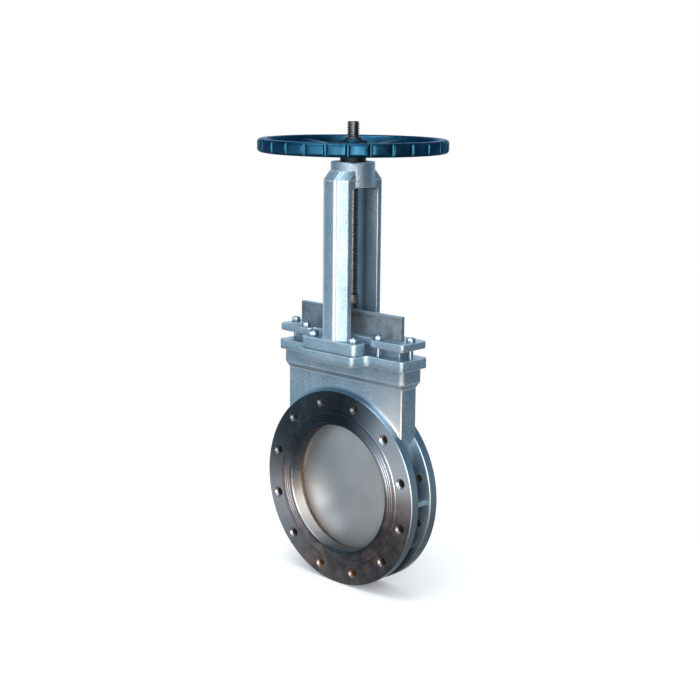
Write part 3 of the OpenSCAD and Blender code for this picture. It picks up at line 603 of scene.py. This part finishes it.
def braid_finish(colours):
    """Graphite packing with a crossed braid."""
    finish = Finish("graphite_braid", Metallic=0.2)
    tree = finish.tree
    strands = [add(tree, "ShaderNodeTexWave", {"Vector": stretched(tree, finish.place, factors),
                                               "Scale": 60.0, "Distortion": 1.0}).outputs["Fac"]
               for factors in ((1, 1, 1), (-1, -1, 1))]
    weave = calc(tree, "MAXIMUM", *strands)
    tone = blend_colours(tree, weave, shade(colours.packing, 0.4), colours.packing)
    finish.link(Base_Color=tone, Roughness=blend_values(tree, weave, 0.75, 0.5))
    finish.bump(weave, 0.0008, 0.6)
    return finish.material


def thread_finish(sizes, colours):
    """Threads of the tapped holes, darkened by painted shade below the upper holes, and rusty in
    the lowest ones.
    """
    finish = Finish("tapped_thread")
    tree = finish.tree
    spot = around_port(tree, finish.place)
    amount = rust_amount(tree, spot, sizes, finish.noise(24.0, 3.0, 0.6), 0.6)
    fleck = finish.noise(400.0, 2.0, 0.6)
    rust = blend_colours(tree, fleck, shade(colours.rust, 0.5), colours.rust)
    # Painted shade: the threads go dark below the upper holes
    painted_shade = blend_colours(tree, ramp(tree, spot.z, (0.08, 0.3), (0.13, 1.0)), (0, 0, 0),
                         colours.fork)
    finish.link(Base_Color=blend_colours(tree, amount, painted_shade, rust),
                Metallic=blend_values(tree, amount, 0.8, 0.1),
                Roughness=blend_values(tree, amount, 0.45, 0.85))
    finish.bump(fleck, 0.0003, 0.5)
    return finish.material


def geometry_tree(name, *inputs):
    """A Geometry Nodes tree with named inputs; returns the tree and its input sockets."""
    tree = bpy.data.node_groups.new(name, "GeometryNodeTree")
    tree.interface.new_socket(name="Geometry", in_out="INPUT", socket_type="NodeSocketGeometry")
    for label, kind in inputs:
        tree.interface.new_socket(name=label, in_out="INPUT", socket_type="NodeSocket" + kind)
    tree.interface.new_socket(name="Geometry", in_out="OUTPUT", socket_type="NodeSocketGeometry")
    return tree, tree.nodes.new("NodeGroupInput").outputs


def close_tree(tree, geometry, material=None):
    """Ends a tree; with a material, its instances are made real and take it."""
    if material is not None:
        real = add(tree, "GeometryNodeRealizeInstances", {0: geometry}).outputs[0]
        geometry = add(tree, "GeometryNodeSetMaterial", {0: real, "Material": material}).outputs[0]
    add(tree, "NodeGroupOutput", {0: geometry})


def use_tree(obj, tree, **values):
    """Puts a tree on an object as a modifier and sets its inputs."""
    modifier = obj.modifiers.new(tree.name, "NODES")
    modifier.node_group = tree
    labels = {item.name: item.identifier for item in tree.interface.items_tree
              if item.item_type == "SOCKET" and item.in_out == "INPUT"}
    for key, value in values.items():
        modifier[labels[key]] = value


def position(tree):
    """The place of each point."""
    return add(tree, "GeometryNodeInputPosition").outputs[0]


def merged(tree, geometry, distance):
    """A geometry whose points within a distance are made one."""
    inputs = {"Geometry": geometry, "Distance": distance}
    return add(tree, "GeometryNodeMergeByDistance", inputs).outputs[0]


def joined(tree, parts):
    """Several geometries as one."""
    node = add(tree, "GeometryNodeJoinGeometry")
    for part in parts:
        tree.links.new(part, node.inputs[0])
    return node.outputs[0]


def placed(tree, geometry, **how):
    """A geometry with a Translation, a Rotation or both."""
    return add(tree, "GeometryNodeTransform", {"Geometry": geometry, **how}).outputs[0]


def exceeds(tree, value, limit):
    """Whether a number is greater than a limit."""
    return add(tree, "FunctionNodeCompare", {0: value, 1: limit}, data_type="FLOAT",
               operation="GREATER_THAN").outputs[0]


def sharp_edge(tree, angle):
    """Whether an edge is folded by more than an angle."""
    return exceeds(tree, add(tree, "GeometryNodeInputMeshEdgeAngle").outputs["Unsigned Angle"],
                   angle)


def weld_tree():
    """Joins a CAD mesh's loose triangles and marks its sharp edges above a height.

    The plain shape goes along as an instance, for the strays that the bevel leaves.
    """
    tree, given = geometry_tree("Weld and mark edges", ("Angle", "Float"), ("Above", "Float"),
                                ("Distance", "Float"))
    welded = merged(tree, given["Geometry"], given["Distance"])
    high = exceeds(tree, split(tree, position(tree))["Z"], given["Above"])
    chosen = add(tree, "FunctionNodeBooleanMath",
                 {0: sharp_edge(tree, given["Angle"]), 1: high}, operation="AND").outputs[0]
    marked = add(tree, "GeometryNodeStoreNamedAttribute",
                 {"Geometry": welded, "Name": "bevel_weight_edge", "Value": chosen},
                 data_type="FLOAT", domain="EDGE").outputs[0]
    plain = add(tree, "GeometryNodeGeometryToInstance", {0: welded}).outputs[0]
    close_tree(tree, joined(tree, (marked, plain)))
    return tree


def shade_tree():
    """Puts points that left the plain shape or its box back on it, and smooths the shading."""
    tree, given = geometry_tree("Smooth but for sharp edges", ("Angle", "Float"),
                                ("Stray", "Float"))
    parts = add(tree, "GeometryNodeSeparateComponents", {0: given["Geometry"]}).outputs
    plain = add(tree, "GeometryNodeRealizeInstances", {0: parts["Instances"]}).outputs[0]
    nearest = add(tree, "GeometryNodeProximity", {"Target": plain}, target_element="FACES").outputs
    back = add(tree, "GeometryNodeSetPosition", {
        "Geometry": parts["Mesh"], "Selection": exceeds(tree, nearest["Distance"], given["Stray"]),
        "Position": nearest["Position"]}).outputs[0]
    box = add(tree, "GeometryNodeBoundBox", {0: plain}).outputs
    place = position(tree)
    for limit, how in ((box["Min"], "MAXIMUM"), (box["Max"], "MINIMUM")):
        place = add(tree, "ShaderNodeVectorMath", {0: place, 1: limit}, operation=how).outputs[0]
    inside = add(tree, "GeometryNodeSetPosition", {"Geometry": back, "Position": place}).outputs[0]
    smooth = add(tree, "GeometryNodeSetShadeSmooth",
                 {"Geometry": inside, "Shade Smooth": True}, domain="FACE").outputs[0]
    soft = add(tree, "FunctionNodeBooleanMath", {0: sharp_edge(tree, given["Angle"])},
               operation="NOT").outputs[0]
    edged = add(tree, "GeometryNodeSetShadeSmooth", {"Geometry": smooth, "Shade Smooth": soft},
                domain="EDGE").outputs[0]
    close_tree(tree, edged)
    return tree


def hole_spots(sizes):
    """(X, Z) of the bolt holes' axes."""
    step = 2 * math.pi / sizes.bolt_count
    turns = [(i + 0.5) * step for i in range(sizes.bolt_count)]
    return [(sizes.bolt_circle * math.cos(turn), sizes.bolt_circle * math.sin(turn))
            for turn in turns]


def turned_faces(tree, sizes):
    """Which of the body's faces are turned: the flanges' faces and rims, and the bore."""
    spot = around_port(tree, position(tree))
    hole = hole_distance(tree, spot, sizes)
    face = product(tree, calc(tree, "GREATER_THAN", hole, sizes.bolt_radius + HOLE_MARGIN / 2),
                   calc(tree, "GREATER_THAN", spot.depth, sizes.face_depth - FACE_DEPTH),
                   calc(tree, "LESS_THAN", spot.radius, FLANGE_RADIUS))
    rim = product(tree, calc(tree, "COMPARE", spot.radius, FLANGE_RADIUS, RIM_FACE_MARGIN),
                  calc(tree, "GREATER_THAN", spot.depth, sizes.face_depth - RIM_DEPTH))
    bore = product(tree, calc(tree, "LESS_THAN", spot.radius, SEAT_RADIUS),
                   calc(tree, "GREATER_THAN", spot.depth, GATE_SIDE + GATE_MARGIN))
    turned = calc(tree, "MAXIMUM", calc(tree, "MAXIMUM", rim, face), bore)
    return calc(tree, "GREATER_THAN", turned, 0.5)


def body_tree(sizes):
    """Countersinks the tapped holes, and gives turned faces their steel."""
    tree, given = geometry_tree("Countersinks and turned faces", ("Hole", "Float"),
                                ("Mouth", "Float"), ("Face", "Float"), ("Turned", "Material"))
    wide = calc(tree, "MULTIPLY_ADD", given["Mouth"], 1.5, given["Hole"])
    narrow = calc(tree, "MULTIPLY_ADD", given["Mouth"], -0.5, given["Hole"])
    cone = add(tree, "GeometryNodeMeshCone", {
        "Vertices": 48, "Radius Top": narrow, "Radius Bottom": wide,
        "Depth": product(tree, given["Mouth"], 2)}).outputs[0]
    reach = calc(tree, "MULTIPLY_ADD", given["Mouth"], 0.5, given["Face"])
    cutters = []
    for side in (-1, 1):
        foot = vector(tree, y=calc(tree, "MULTIPLY_ADD", reach, side, VALVE_MIDDLE))
        laid = placed(tree, cone, Translation=foot, Rotation=(side * math.pi / 2, 0, 0))
        cutters += [placed(tree, laid, Translation=(x, 0, z)) for x, z in hole_spots(sizes)]
    welded = merged(tree, given["Geometry"], WELD)
    cut = add(tree, "GeometryNodeMeshBoolean", {"Mesh 1": welded, "Mesh 2": joined(tree, cutters)},
              operation="DIFFERENCE", solver="MANIFOLD").outputs[0]
    steel = add(tree, "GeometryNodeSetMaterial", {
        "Geometry": cut, "Selection": turned_faces(tree, sizes),
        "Material": given["Turned"]}).outputs[0]
    close_tree(tree, steel)
    return tree


def one_tree(name, maker):
    """A tree that is made once and then shared."""
    return bpy.data.node_groups.get(name) or maker()


def dress(node, material, edge=0.0, above=-10.0, weld=WELD, rim=None, extra=None, **values):
    """Gives a CAD node its material, and rounds its sharp edges above a height.

    The rim material goes on the rounding; the extra tree runs first, with the values.
    """
    obj = NODES[node]
    obj.data.materials.clear()
    obj.data.materials.append(material)
    if rim:
        obj.data.materials.append(rim)
    if extra:
        use_tree(obj, extra, **values)
    use_tree(obj, one_tree("Weld and mark edges", weld_tree), Angle=ROUNDED_FOLD, Above=above,
             Distance=weld)
    if edge:
        bevel = obj.modifiers.new("Rounded edges", "BEVEL")
        bevel.limit_method = "WEIGHT"
        bevel.width = edge
        bevel.segments = 2
        bevel.material = 1 if rim else -1
        bevel.use_clamp_overlap = False
    # Points of a sound rounding lie nearer than this to the plain shape
    use_tree(obj, one_tree("Smooth but for sharp edges", shade_tree), Angle=SHADED_FOLD,
             Stray=0.45 * edge + 10 * WELD)


def new_object(name, data):
    """An object at the origin, in the scene."""
    obj = bpy.data.objects.new(name, data)
    bpy.context.scene.collection.objects.link(obj)
    return obj


def point_object(name, points):
    """An object with a vertex at each point."""
    mesh = bpy.data.meshes.new(name)
    mesh.from_pydata([tuple(p) for p in points], [], [])
    return new_object(name, mesh)


def bake_tree(obj, material):
    """Turns an object's modifiers into a plain mesh whose faces point outwards."""
    graph = bpy.context.evaluated_depsgraph_get()
    mesh = bpy.data.meshes.new_from_object(obj.evaluated_get(graph))
    obj.modifiers.clear()
    old, obj.data = obj.data, mesh
    bpy.data.meshes.remove(old)
    work = bmesh.new()
    work.from_mesh(mesh)
    bmesh.ops.remove_doubles(work, verts=work.verts, dist=WELD)
    bmesh.ops.recalc_face_normals(work, faces=work.faces)
    work.to_mesh(mesh)
    work.free()
    mesh.materials.clear()
    mesh.materials.append(material)
    mesh.shade_smooth()
    mesh.set_sharp_from_angle(angle=THREAD_FOLD)
    return obj


def thread_tree():
    """A threaded rod with chamfered ends on each point, standing up the Z axis."""
    tree, given = geometry_tree(
        "Threaded rods", ("Radius", "Float"), ("Depth", "Float"), ("Pitch", "Float"),
        ("Length", "Float"), ("Hand", "Float"), ("Rows", "Int"), ("Around", "Int"),
        ("Material", "Material"))
    columns = calc(tree, "ADD", given["Around"], 1)
    grid = add(tree, "GeometryNodeMeshGrid",
               {"Size X": 1.0, "Size Y": 1.0, "Vertices X": columns,
                "Vertices Y": given["Rows"]}).outputs["Mesh"]
    x, y, _ = split(tree, position(tree))
    turn = calc(tree, "ADD", x, 0.5)
    row = product(tree, calc(tree, "ADD", y, 0.5), calc(tree, "SUBTRACT", given["Rows"], 1))
    pitches = calc(tree, "SUBTRACT", calc(tree, "DIVIDE", row, THREAD_ROWS), 2)
    # Pitches from the middle of a crest; 4 more keep the number positive
    wave = calc(tree, "ABSOLUTE", calc(tree, "SUBTRACT", calc(tree, "FRACT", calc(
        tree, "ADD", pitches, 4)), 0.5))
    crest = add(tree, "ShaderNodeMapRange", {"Value": wave, "From Min": 1 / 3, "From Max": 1 / 6,
                                             "To Min": 0.0, "To Max": 1.0}).outputs[0]
    root = calc(tree, "SUBTRACT", given["Radius"], given["Depth"])
    raw_radius = calc(tree, "MULTIPLY_ADD", crest, given["Depth"], root)
    sheared = calc(tree, "MULTIPLY_ADD", given["Hand"], turn, pitches)
    raw_height = product(tree, sheared, given["Pitch"])
    height = calc(tree, "MINIMUM", calc(tree, "MAXIMUM", raw_height, 0), given["Length"])
    to_end = calc(tree, "MINIMUM", height, calc(tree, "SUBTRACT", given["Length"], height))
    end_radius = calc(tree, "SUBTRACT", root, product(tree, given["Depth"], 0.1))
    radius = calc(tree, "MINIMUM", raw_radius, calc(tree, "ADD", end_radius, to_end))
    angle = product(tree, turn, 2 * math.pi)
    spot = vector(tree, product(tree, radius, calc(tree, "COSINE", angle)),
                  product(tree, radius, calc(tree, "SINE", angle)), height)
    flank = add(tree, "GeometryNodeSetPosition", {"Geometry": grid, "Position": spot}).outputs[0]
    lid = add(tree, "GeometryNodeMeshCircle", {"Vertices": given["Around"], "Radius": end_radius},
              fill_type="NGON").outputs["Mesh"]
    top = placed(tree, lid, Translation=vector(tree, z=given["Length"]))
    rod = merged(tree, joined(tree, (flank, lid, top)), 10 * WELD)
    rods = add(tree, "GeometryNodeInstanceOnPoints",
               {"Points": given["Geometry"], "Instance": rod}).outputs[0]
    close_tree(tree, rods, given["Material"])
    return tree


def threaded_rods(name, points, radius, depth, pitch, length, material, around, hand=1):
    """Threaded rods that stand on points, as one mesh; hand is -1 for a left-hand thread."""
    obj = point_object(name, points)
    rows = THREAD_ROWS * (math.ceil(length / pitch) + 4) + 1
    use_tree(obj, one_tree("Threaded rods", thread_tree), Radius=radius, Depth=depth, Pitch=pitch,
             Length=length, Hand=float(hand), Rows=rows, Around=around, Material=material)
    return bake_tree(obj, material)


def coil_tree():
    """A thread ridge lining a round hole at each point, with the hole's axis along Y."""
    tree, given = geometry_tree(
        "Tapped threads", ("Radius", "Float"), ("Pitch", "Float"), ("Length", "Float"),
        ("Material", "Material"))
    turns = calc(tree, "DIVIDE", given["Length"], given["Pitch"])
    inner = calc(tree, "SUBTRACT", given["Radius"], product(tree, given["Pitch"], 0.12))
    spiral = add(tree, "GeometryNodeCurveSpiral", {
        "Resolution": 20, "Rotations": turns, "Start Radius": inner, "End Radius": inner,
        "Height": given["Length"]}).outputs[0]
    ridge = add(tree, "GeometryNodeCurvePrimitiveCircle", {
        "Resolution": 3, "Radius": product(tree, given["Pitch"], 0.42)}, mode="RADIUS").outputs[0]
    coil = add(tree, "GeometryNodeCurveToMesh", {
        "Curve": spiral, "Profile Curve": ridge, "Fill Caps": True}).outputs[0]
    laid = placed(tree, coil, Rotation=(-math.pi / 2, 0, 0))
    holes = add(tree, "GeometryNodeInstanceOnPoints", {
        "Points": given["Geometry"], "Instance": laid}).outputs[0]
    close_tree(tree, holes, given["Material"])
    return tree


def solids_of(node):
    """(lowest corner, highest corner) of each separate solid of a CAD node."""
    work = bmesh.new()
    work.from_mesh(NODES[node].data)
    bmesh.ops.remove_doubles(work, verts=work.verts, dist=WELD)
    left, boxes = set(work.verts), []
    while left:
        island, edge = set(), [left.pop()]
        while edge:
            vert = edge.pop()
            island.add(vert)
            for other in (e.other_vert(vert) for e in vert.link_edges):
                if other in left:
                    left.discard(other)
                    edge.append(other)
        boxes.append([Vector(pick(v.co[i] for v in island) for i in range(3))
                      for pick in (min, max)])
    work.free()
    return boxes


def studs(name, node, sizes, material):
    """Threaded studs in place of a CAD node's plain ones."""
    boxes = solids_of(node)
    low, high = boxes[0]
    feet = [Vector(((a.x + b.x) / 2, (a.y + b.y) / 2, a.z)) for a, b in boxes]
    obj = threaded_rods(name, feet, (high.x - low.x) / 2, sizes.stud_depth, sizes.stud_pitch,
                        high.z - low.z, material, around=24)
    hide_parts(node)
    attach(obj, "valve_body")


class VALVE_OT_castings(bpy.types.Operator):
    """Dress the body, the gland and the yoke as blasted castings"""

    bl_idname = "valve.castings"
    bl_label = "Castings"

    def execute(self, context):
        sizes, colours, _ = settings()
        cast = cast_finish("blasted_casting", colours.cast_light, colours.cast_dark)
        # The castings' rounded edges get a lighter casting: edge wear and a painted highlight
        rim = cast_finish("casting_edge", colours.edge_wear_and_sheen, colours.cast_light)
        above_flanges = FLANGE_RADIUS + 0.001
        under_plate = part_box("gland")[1].z - 0.018
        above_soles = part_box("yoke")[0].z + 0.001
        dress("body", body_finish(sizes, colours), sizes.cast_edge, above_flanges, rim=rim,
              extra=body_tree(sizes), Hole=sizes.bolt_radius, Mouth=sizes.mouth_chamfer,
              Face=sizes.face_depth, Turned=turned_finish(sizes, colours))
        dress("gland", cast, sizes.cast_edge, under_plate, rim=rim)
        # A wider weld closes the small step where the legs bend, which the rounding can't pass
        dress("yoke", yoke_finish(sizes, colours), sizes.cast_edge, above_soles,
              weld=100 * WELD, rim=rim)
        return {"FINISHED"}


class VALVE_OT_seats(bpy.types.Operator):
    """Dress the bronze pieces and the packing"""

    bl_idname = "valve.seats"
    bl_label = "Seats, guides and packing"

    def execute(self, context):
        _, colours, _ = settings()
        bronze = steel_finish("turned_bronze", colours.bronze, rough=0.3, scale=90.0)
        for node in ("front_seat_ring", "rear_seat_ring", "gate_guides", "lower_thrust_washer",
                     "upper_thrust_washer"):
            dress(node, bronze)
        braid = braid_finish(colours)
        for ring in ("lower", "middle", "upper"):
            dress("packing_ring_" + ring, braid)
        return {"FINISHED"}


class VALVE_OT_gate(bpy.types.Operator):
    """Dress the gate, the clevis and its pin, and the black steel round the stem nut"""

    bl_idname = "valve.gate"
    bl_label = "Gate, clevis and stem nut"

    def execute(self, context):
        sizes, colours, _ = settings()
        dress("gate", plate_finish(colours), sizes.plate_edge)
        fork = steel_finish("oiled_steel", colours.fork, rough=0.42, scale=120.0,
                            metallic=0.75, spread=0.4)
        for node in ("clevis", "stem_pin"):
            dress(node, fork, sizes.plate_edge)
        dark = steel_finish("blackened_steel", colours.grime_and_shade, rough=0.4, scale=120.0,
                            metallic=0.8)
        for node in ("bearing_cap", "wheel_key", "stem_nut"):
            dress(node, dark, sizes.plate_edge)
        return {"FINISHED"}


class VALVE_OT_stem(bpy.types.Operator):
    """Stand a threaded stem in place of the plain one"""

    bl_idname = "valve.stem"
    bl_label = "Stem"

    def execute(self, context):
        sizes, colours, _ = settings()
        metal = steel_finish("greased_stem", colours.stem, rough=0.26, scale=260.0, spread=0.45)
        foot = Vector((STEM_AXIS.x, STEM_AXIS.y, CLEVIS_TOP))
        stem = threaded_rods("threaded_stem", [foot], (STEM_HIGH.x - STEM_LOW.x) / 2,
                             sizes.stem_depth, sizes.stem_lead, STEM_HIGH.z - CLEVIS_TOP, metal,
                             hand=-1, around=48)
        work = bmesh.new()
        work.from_mesh(stem.data)
        height = CLEVIS_TOP - STEM_LOW.z
        centre = Matrix.Translation((foot.x, foot.y, STEM_LOW.z + height / 2))
        bmesh.ops.create_cone(work, cap_ends=True, segments=48, radius1=sizes.spigot_radius,
                              radius2=sizes.spigot_radius, depth=height, matrix=centre)
        work.to_mesh(stem.data)
        work.free()
        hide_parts("stem")
        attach(stem, "gate_assembly")
        return {"FINISHED"}


class VALVE_OT_fasteners(bpy.types.Operator):
    """Thread the studs and dress the nuts"""

    bl_idname = "valve.fasteners"
    bl_label = "Studs and nuts"

    def execute(self, context):
        sizes, colours, _ = settings()
        zinc = steel_finish("zinc_plate", colours.zinc, rough=0.28, scale=90.0,
                            metallic=0.95, spread=0.12)
        studs("threaded_gland_studs", "gland_studs", sizes, zinc)
        studs("threaded_yoke_studs", "yoke_studs", sizes, zinc)
        for node in ("gland_nuts", "yoke_nuts", "clevis_bolt", "clevis_nut"):
            dress(node, zinc, sizes.nut_edge)
        return {"FINISHED"}


class VALVE_OT_tapped_holes(bpy.types.Operator):
    """Cut the threads of the flanges' bolt holes"""

    bl_idname = "valve.tapped_holes"
    bl_label = "Tapped holes"

    def execute(self, context):
        sizes, colours, _ = settings()
        metal = thread_finish(sizes, colours)
        tree = one_tree("Tapped threads", coil_tree)
        length = sizes.bolt_depth
        inset = sizes.face_depth - sizes.mouth_chamfer - THREAD_INSET
        starts = {"front": VALVE_MIDDLE - inset, "rear": VALVE_MIDDLE + inset - length}
        for side, start in starts.items():
            spots = [(x, start, z) for x, z in hole_spots(sizes)]
            obj = point_object(side + "_tapped_threads", spots)
            use_tree(obj, tree, Radius=sizes.bolt_radius, Pitch=sizes.bolt_pitch, Length=length,
                     Material=metal)
            bake_tree(obj, metal)
            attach(obj, "valve_body")
        return {"FINISHED"}


class VALVE_OT_handwheel(bpy.types.Operator):
    """Dress the handwheel and its lock nut"""

    bl_idname = "valve.handwheel"
    bl_label = "Handwheel"

    def execute(self, context):
        sizes, colours, _ = settings()
        enamel = enamel_finish(colours)
        dress("handwheel", enamel, sizes.wheel_edge)
        dress("wheel_lock_nut", enamel, sizes.nut_edge)
        return {"FINISHED"}


# Broad glows round the studio: azimuth, elevation, sharpness and colour
GLOWS = (
    (12, 0, 9.0, (2.6, 2.2, 2.0)),
    (40, -6, 14.0, (4.6, 3.1, 2.05)),
    (-136, 0, 3.0, (1.4, 1.5, 1.6)),
    (35, 50, 9.0, (0.6, 0.65, 0.7)),
    (-45, 8, 6.0, (0.10, 0.16, 0.20)),
    (138, 5, 6.0, (0.08, 0.13, 0.17)),
)


def toward(azimuth, elevation):
    """The unit vector at an azimuth and elevation in degrees, from the front round to +X."""
    turn, rise = math.radians(azimuth), math.radians(elevation)
    return Vector((math.sin(turn) * math.cos(rise), -math.cos(turn) * math.cos(rise),
                   math.sin(rise)))


def stand(place, right, away):
    """A matrix that stands at a place and looks along -Z, away from a direction."""
    turned = Matrix((right, away.cross(right), away)).transposed()
    return Matrix.Translation(place) @ turned.to_4x4()


def soft_light(name, target, direction, distance, size, power, colour):
    """A rectangular softbox in a direction (azimuth, elevation in degrees) from a target."""
    data = bpy.data.lights.new(name, "AREA")
    data.shape = "RECTANGLE"
    data.size, data.size_y = size
    data.energy = power
    data.color = colour
    light = new_object(name, data)
    away = toward(*direction)
    right = Vector((0, 0, 1)).cross(away).normalized()
    light.matrix_world = stand(target + distance * away, right, away)
    light.visible_camera = False


class VALVE_OT_stage(bpy.types.Operator):
    """Lay the floor and place the lights and the camera"""

    bl_idname = "valve.stage"
    bl_label = "Stage"

    def execute(self, context):
        _, colours, stage = settings()
        self.floor(colours, stage)
        self.surroundings(colours)
        self.lights()
        self.camera(stage)
        return {"FINISHED"}

    def floor(self, colours, stage):
        """A pale disc that fades out towards its edge."""
        finish = Finish("pale_floor", Roughness=0.8, Emission_Color=(1, 1, 1, 1),
                        Emission_Strength=0.15)
        tree = finish.tree
        x, y, _ = split(tree, finish.place)
        share = calc(tree, "DIVIDE", hypotenuse(tree, x, y), stage.floor_radius)
        tone = blend_colours(tree, finish.noise(40.0), shade(colours.floor, 0.98), colours.floor)
        finish.link(Base_Color=tone, Alpha=ramp(tree, share, (0.2, 1.0), (0.75, 0.0)))
        work = bmesh.new()
        bmesh.ops.create_circle(work, cap_ends=True, segments=128, radius=stage.floor_radius,
                                matrix=Matrix.Translation((0, VALVE_MIDDLE, FLOOR_HEIGHT)))
        mesh = bpy.data.meshes.new("floor")
        work.to_mesh(mesh)
        work.free()
        mesh.materials.append(finish.material)
        floor = new_object("floor", mesh)
        floor.visible_glossy = False

    def surroundings(self, colours):
        """White behind, soft grey on the floor, and broad glows that the metal mirrors."""
        world = bpy.data.worlds.new("studio")
        bpy.context.scene.world = world
        world.use_nodes = True
        tree = world.node_tree
        tree.nodes.clear()
        direction = add(tree, "ShaderNodeTexCoord").outputs["Generated"]
        height = calc(tree, "MULTIPLY_ADD", split(tree, direction)["Z"], 0.5, 0.5)
        room = two_tone(tree, height, colours.room_low, colours.room_high, 0.40, 0.52)
        soft = two_tone(tree, height, colours.ambient_low, colours.ambient_high)
        for azimuth, elevation, sharpness, tint in GLOWS:
            lobe = add(tree, "ShaderNodeVectorMath", {0: direction, 1: toward(azimuth, elevation)},
                       operation="DOT_PRODUCT").outputs["Value"]
            lobe = calc(tree, "POWER", calc(tree, "MAXIMUM", lobe, 0.0), sharpness)
            glow = blend_colours(tree, lobe, (0, 0, 0), tint)
            room = blend_colours(tree, 1.0, room, glow, "ADD")
        path = add(tree, "ShaderNodeLightPath").outputs
        seen = blend_colours(tree, path["Is Glossy Ray"], soft, room)
        seen = blend_colours(tree, path["Is Camera Ray"], seen, (1, 1, 1))
        light = add(tree, "ShaderNodeBackground", {"Color": seen})
        add(tree, "ShaderNodeOutputWorld", {0: light.outputs[0]})

    def lights(self):
        """A tall softbox in front, a weak one at the left of the yoke and one overhead."""
        waist = Vector((0, VALVE_MIDDLE, 0.25))
        yoke = Vector((0, VALVE_MIDDLE, 0.44))
        soft_light("front_box", waist, direction=(48, 14), distance=3.2, size=(0.7, 2.2),
                   power=43, colour=(1.0, 1.0, 1.0))
        soft_light("upper_box", yoke, direction=(-43, -6), distance=1.6, size=(0.7, 0.8),
                   power=1.8, colour=(0.8, 0.95, 1.0))
        soft_light("top_box", waist, direction=(10, 75), distance=2.4, size=(1.6, 1.6),
                   power=30, colour=(0.95, 0.98, 1.0))

    def camera(self, stage):
        """The camera, turned round the stem's axis and rolled a little."""
        away = toward(math.degrees(stage.azimuth), math.degrees(stage.elevation))
        side = Vector((math.cos(stage.azimuth), math.sin(stage.azimuth), 0))
        right = side * math.cos(stage.roll) + away.cross(side) * math.sin(stage.roll)
        target = side * stage.aim_side + Vector((0, VALVE_MIDDLE, stage.aim_height))
        data = bpy.data.cameras.new("camera")
        data.sensor_width = 36.0
        data.lens = stage.lens
        camera = new_object("camera", data)
        camera.matrix_world = stand(target + away * stage.distance, right, away)
        scene = bpy.context.scene
        scene.camera = camera
        scene.view_settings.view_transform = "Standard"


class VALVE_PT_panel(bpy.types.Panel):
    """List the valve's operators and settings"""

    bl_idname = "VALVE_PT_panel"
    bl_label = "Gate valve"
    bl_space_type = "VIEW_3D"
    bl_region_type = "UI"
    bl_category = "Gate valve"

    def draw(self, context):
        for operator in OPERATORS:
            self.layout.operator(operator.bl_idname)
        for group in settings():
            column = self.layout.column()
            for key in group.__annotations__:
                column.prop(group, key)


GROUPS = {"valve_sizes": ValveSizes, "valve_colours": ValveColours, "valve_stage": StageSizes}
OPERATORS = (VALVE_OT_stage, VALVE_OT_castings, VALVE_OT_seats, VALVE_OT_gate, VALVE_OT_stem,
             VALVE_OT_fasteners, VALVE_OT_tapped_holes, VALVE_OT_handwheel)
CLASSES = (*GROUPS.values(), *OPERATORS, VALVE_PT_panel)


def register():
    """Makes the classes and the groups of settings known to Blender."""
    for cls in CLASSES:
        bpy.utils.register_class(cls)
    for name, group in GROUPS.items():
        setattr(bpy.types.Scene, name, bpy.props.PointerProperty(type=group))


def unregister():
    """Takes the settings and the classes away again."""
    for name in GROUPS:
        delattr(bpy.types.Scene, name)
    for cls in reversed(CLASSES):
        bpy.utils.unregister_class(cls)


def main():
    """Runs every operator."""
    register()
    bpy.ops.valve.stage()
    bpy.ops.valve.castings()
    bpy.ops.valve.seats()
    bpy.ops.valve.gate()
    bpy.ops.valve.stem()
    bpy.ops.valve.fasteners()
    bpy.ops.valve.tapped_holes()
    bpy.ops.valve.handwheel()
    bpy.context.view_layer.update()


if __name__ == "__main__":
    main()
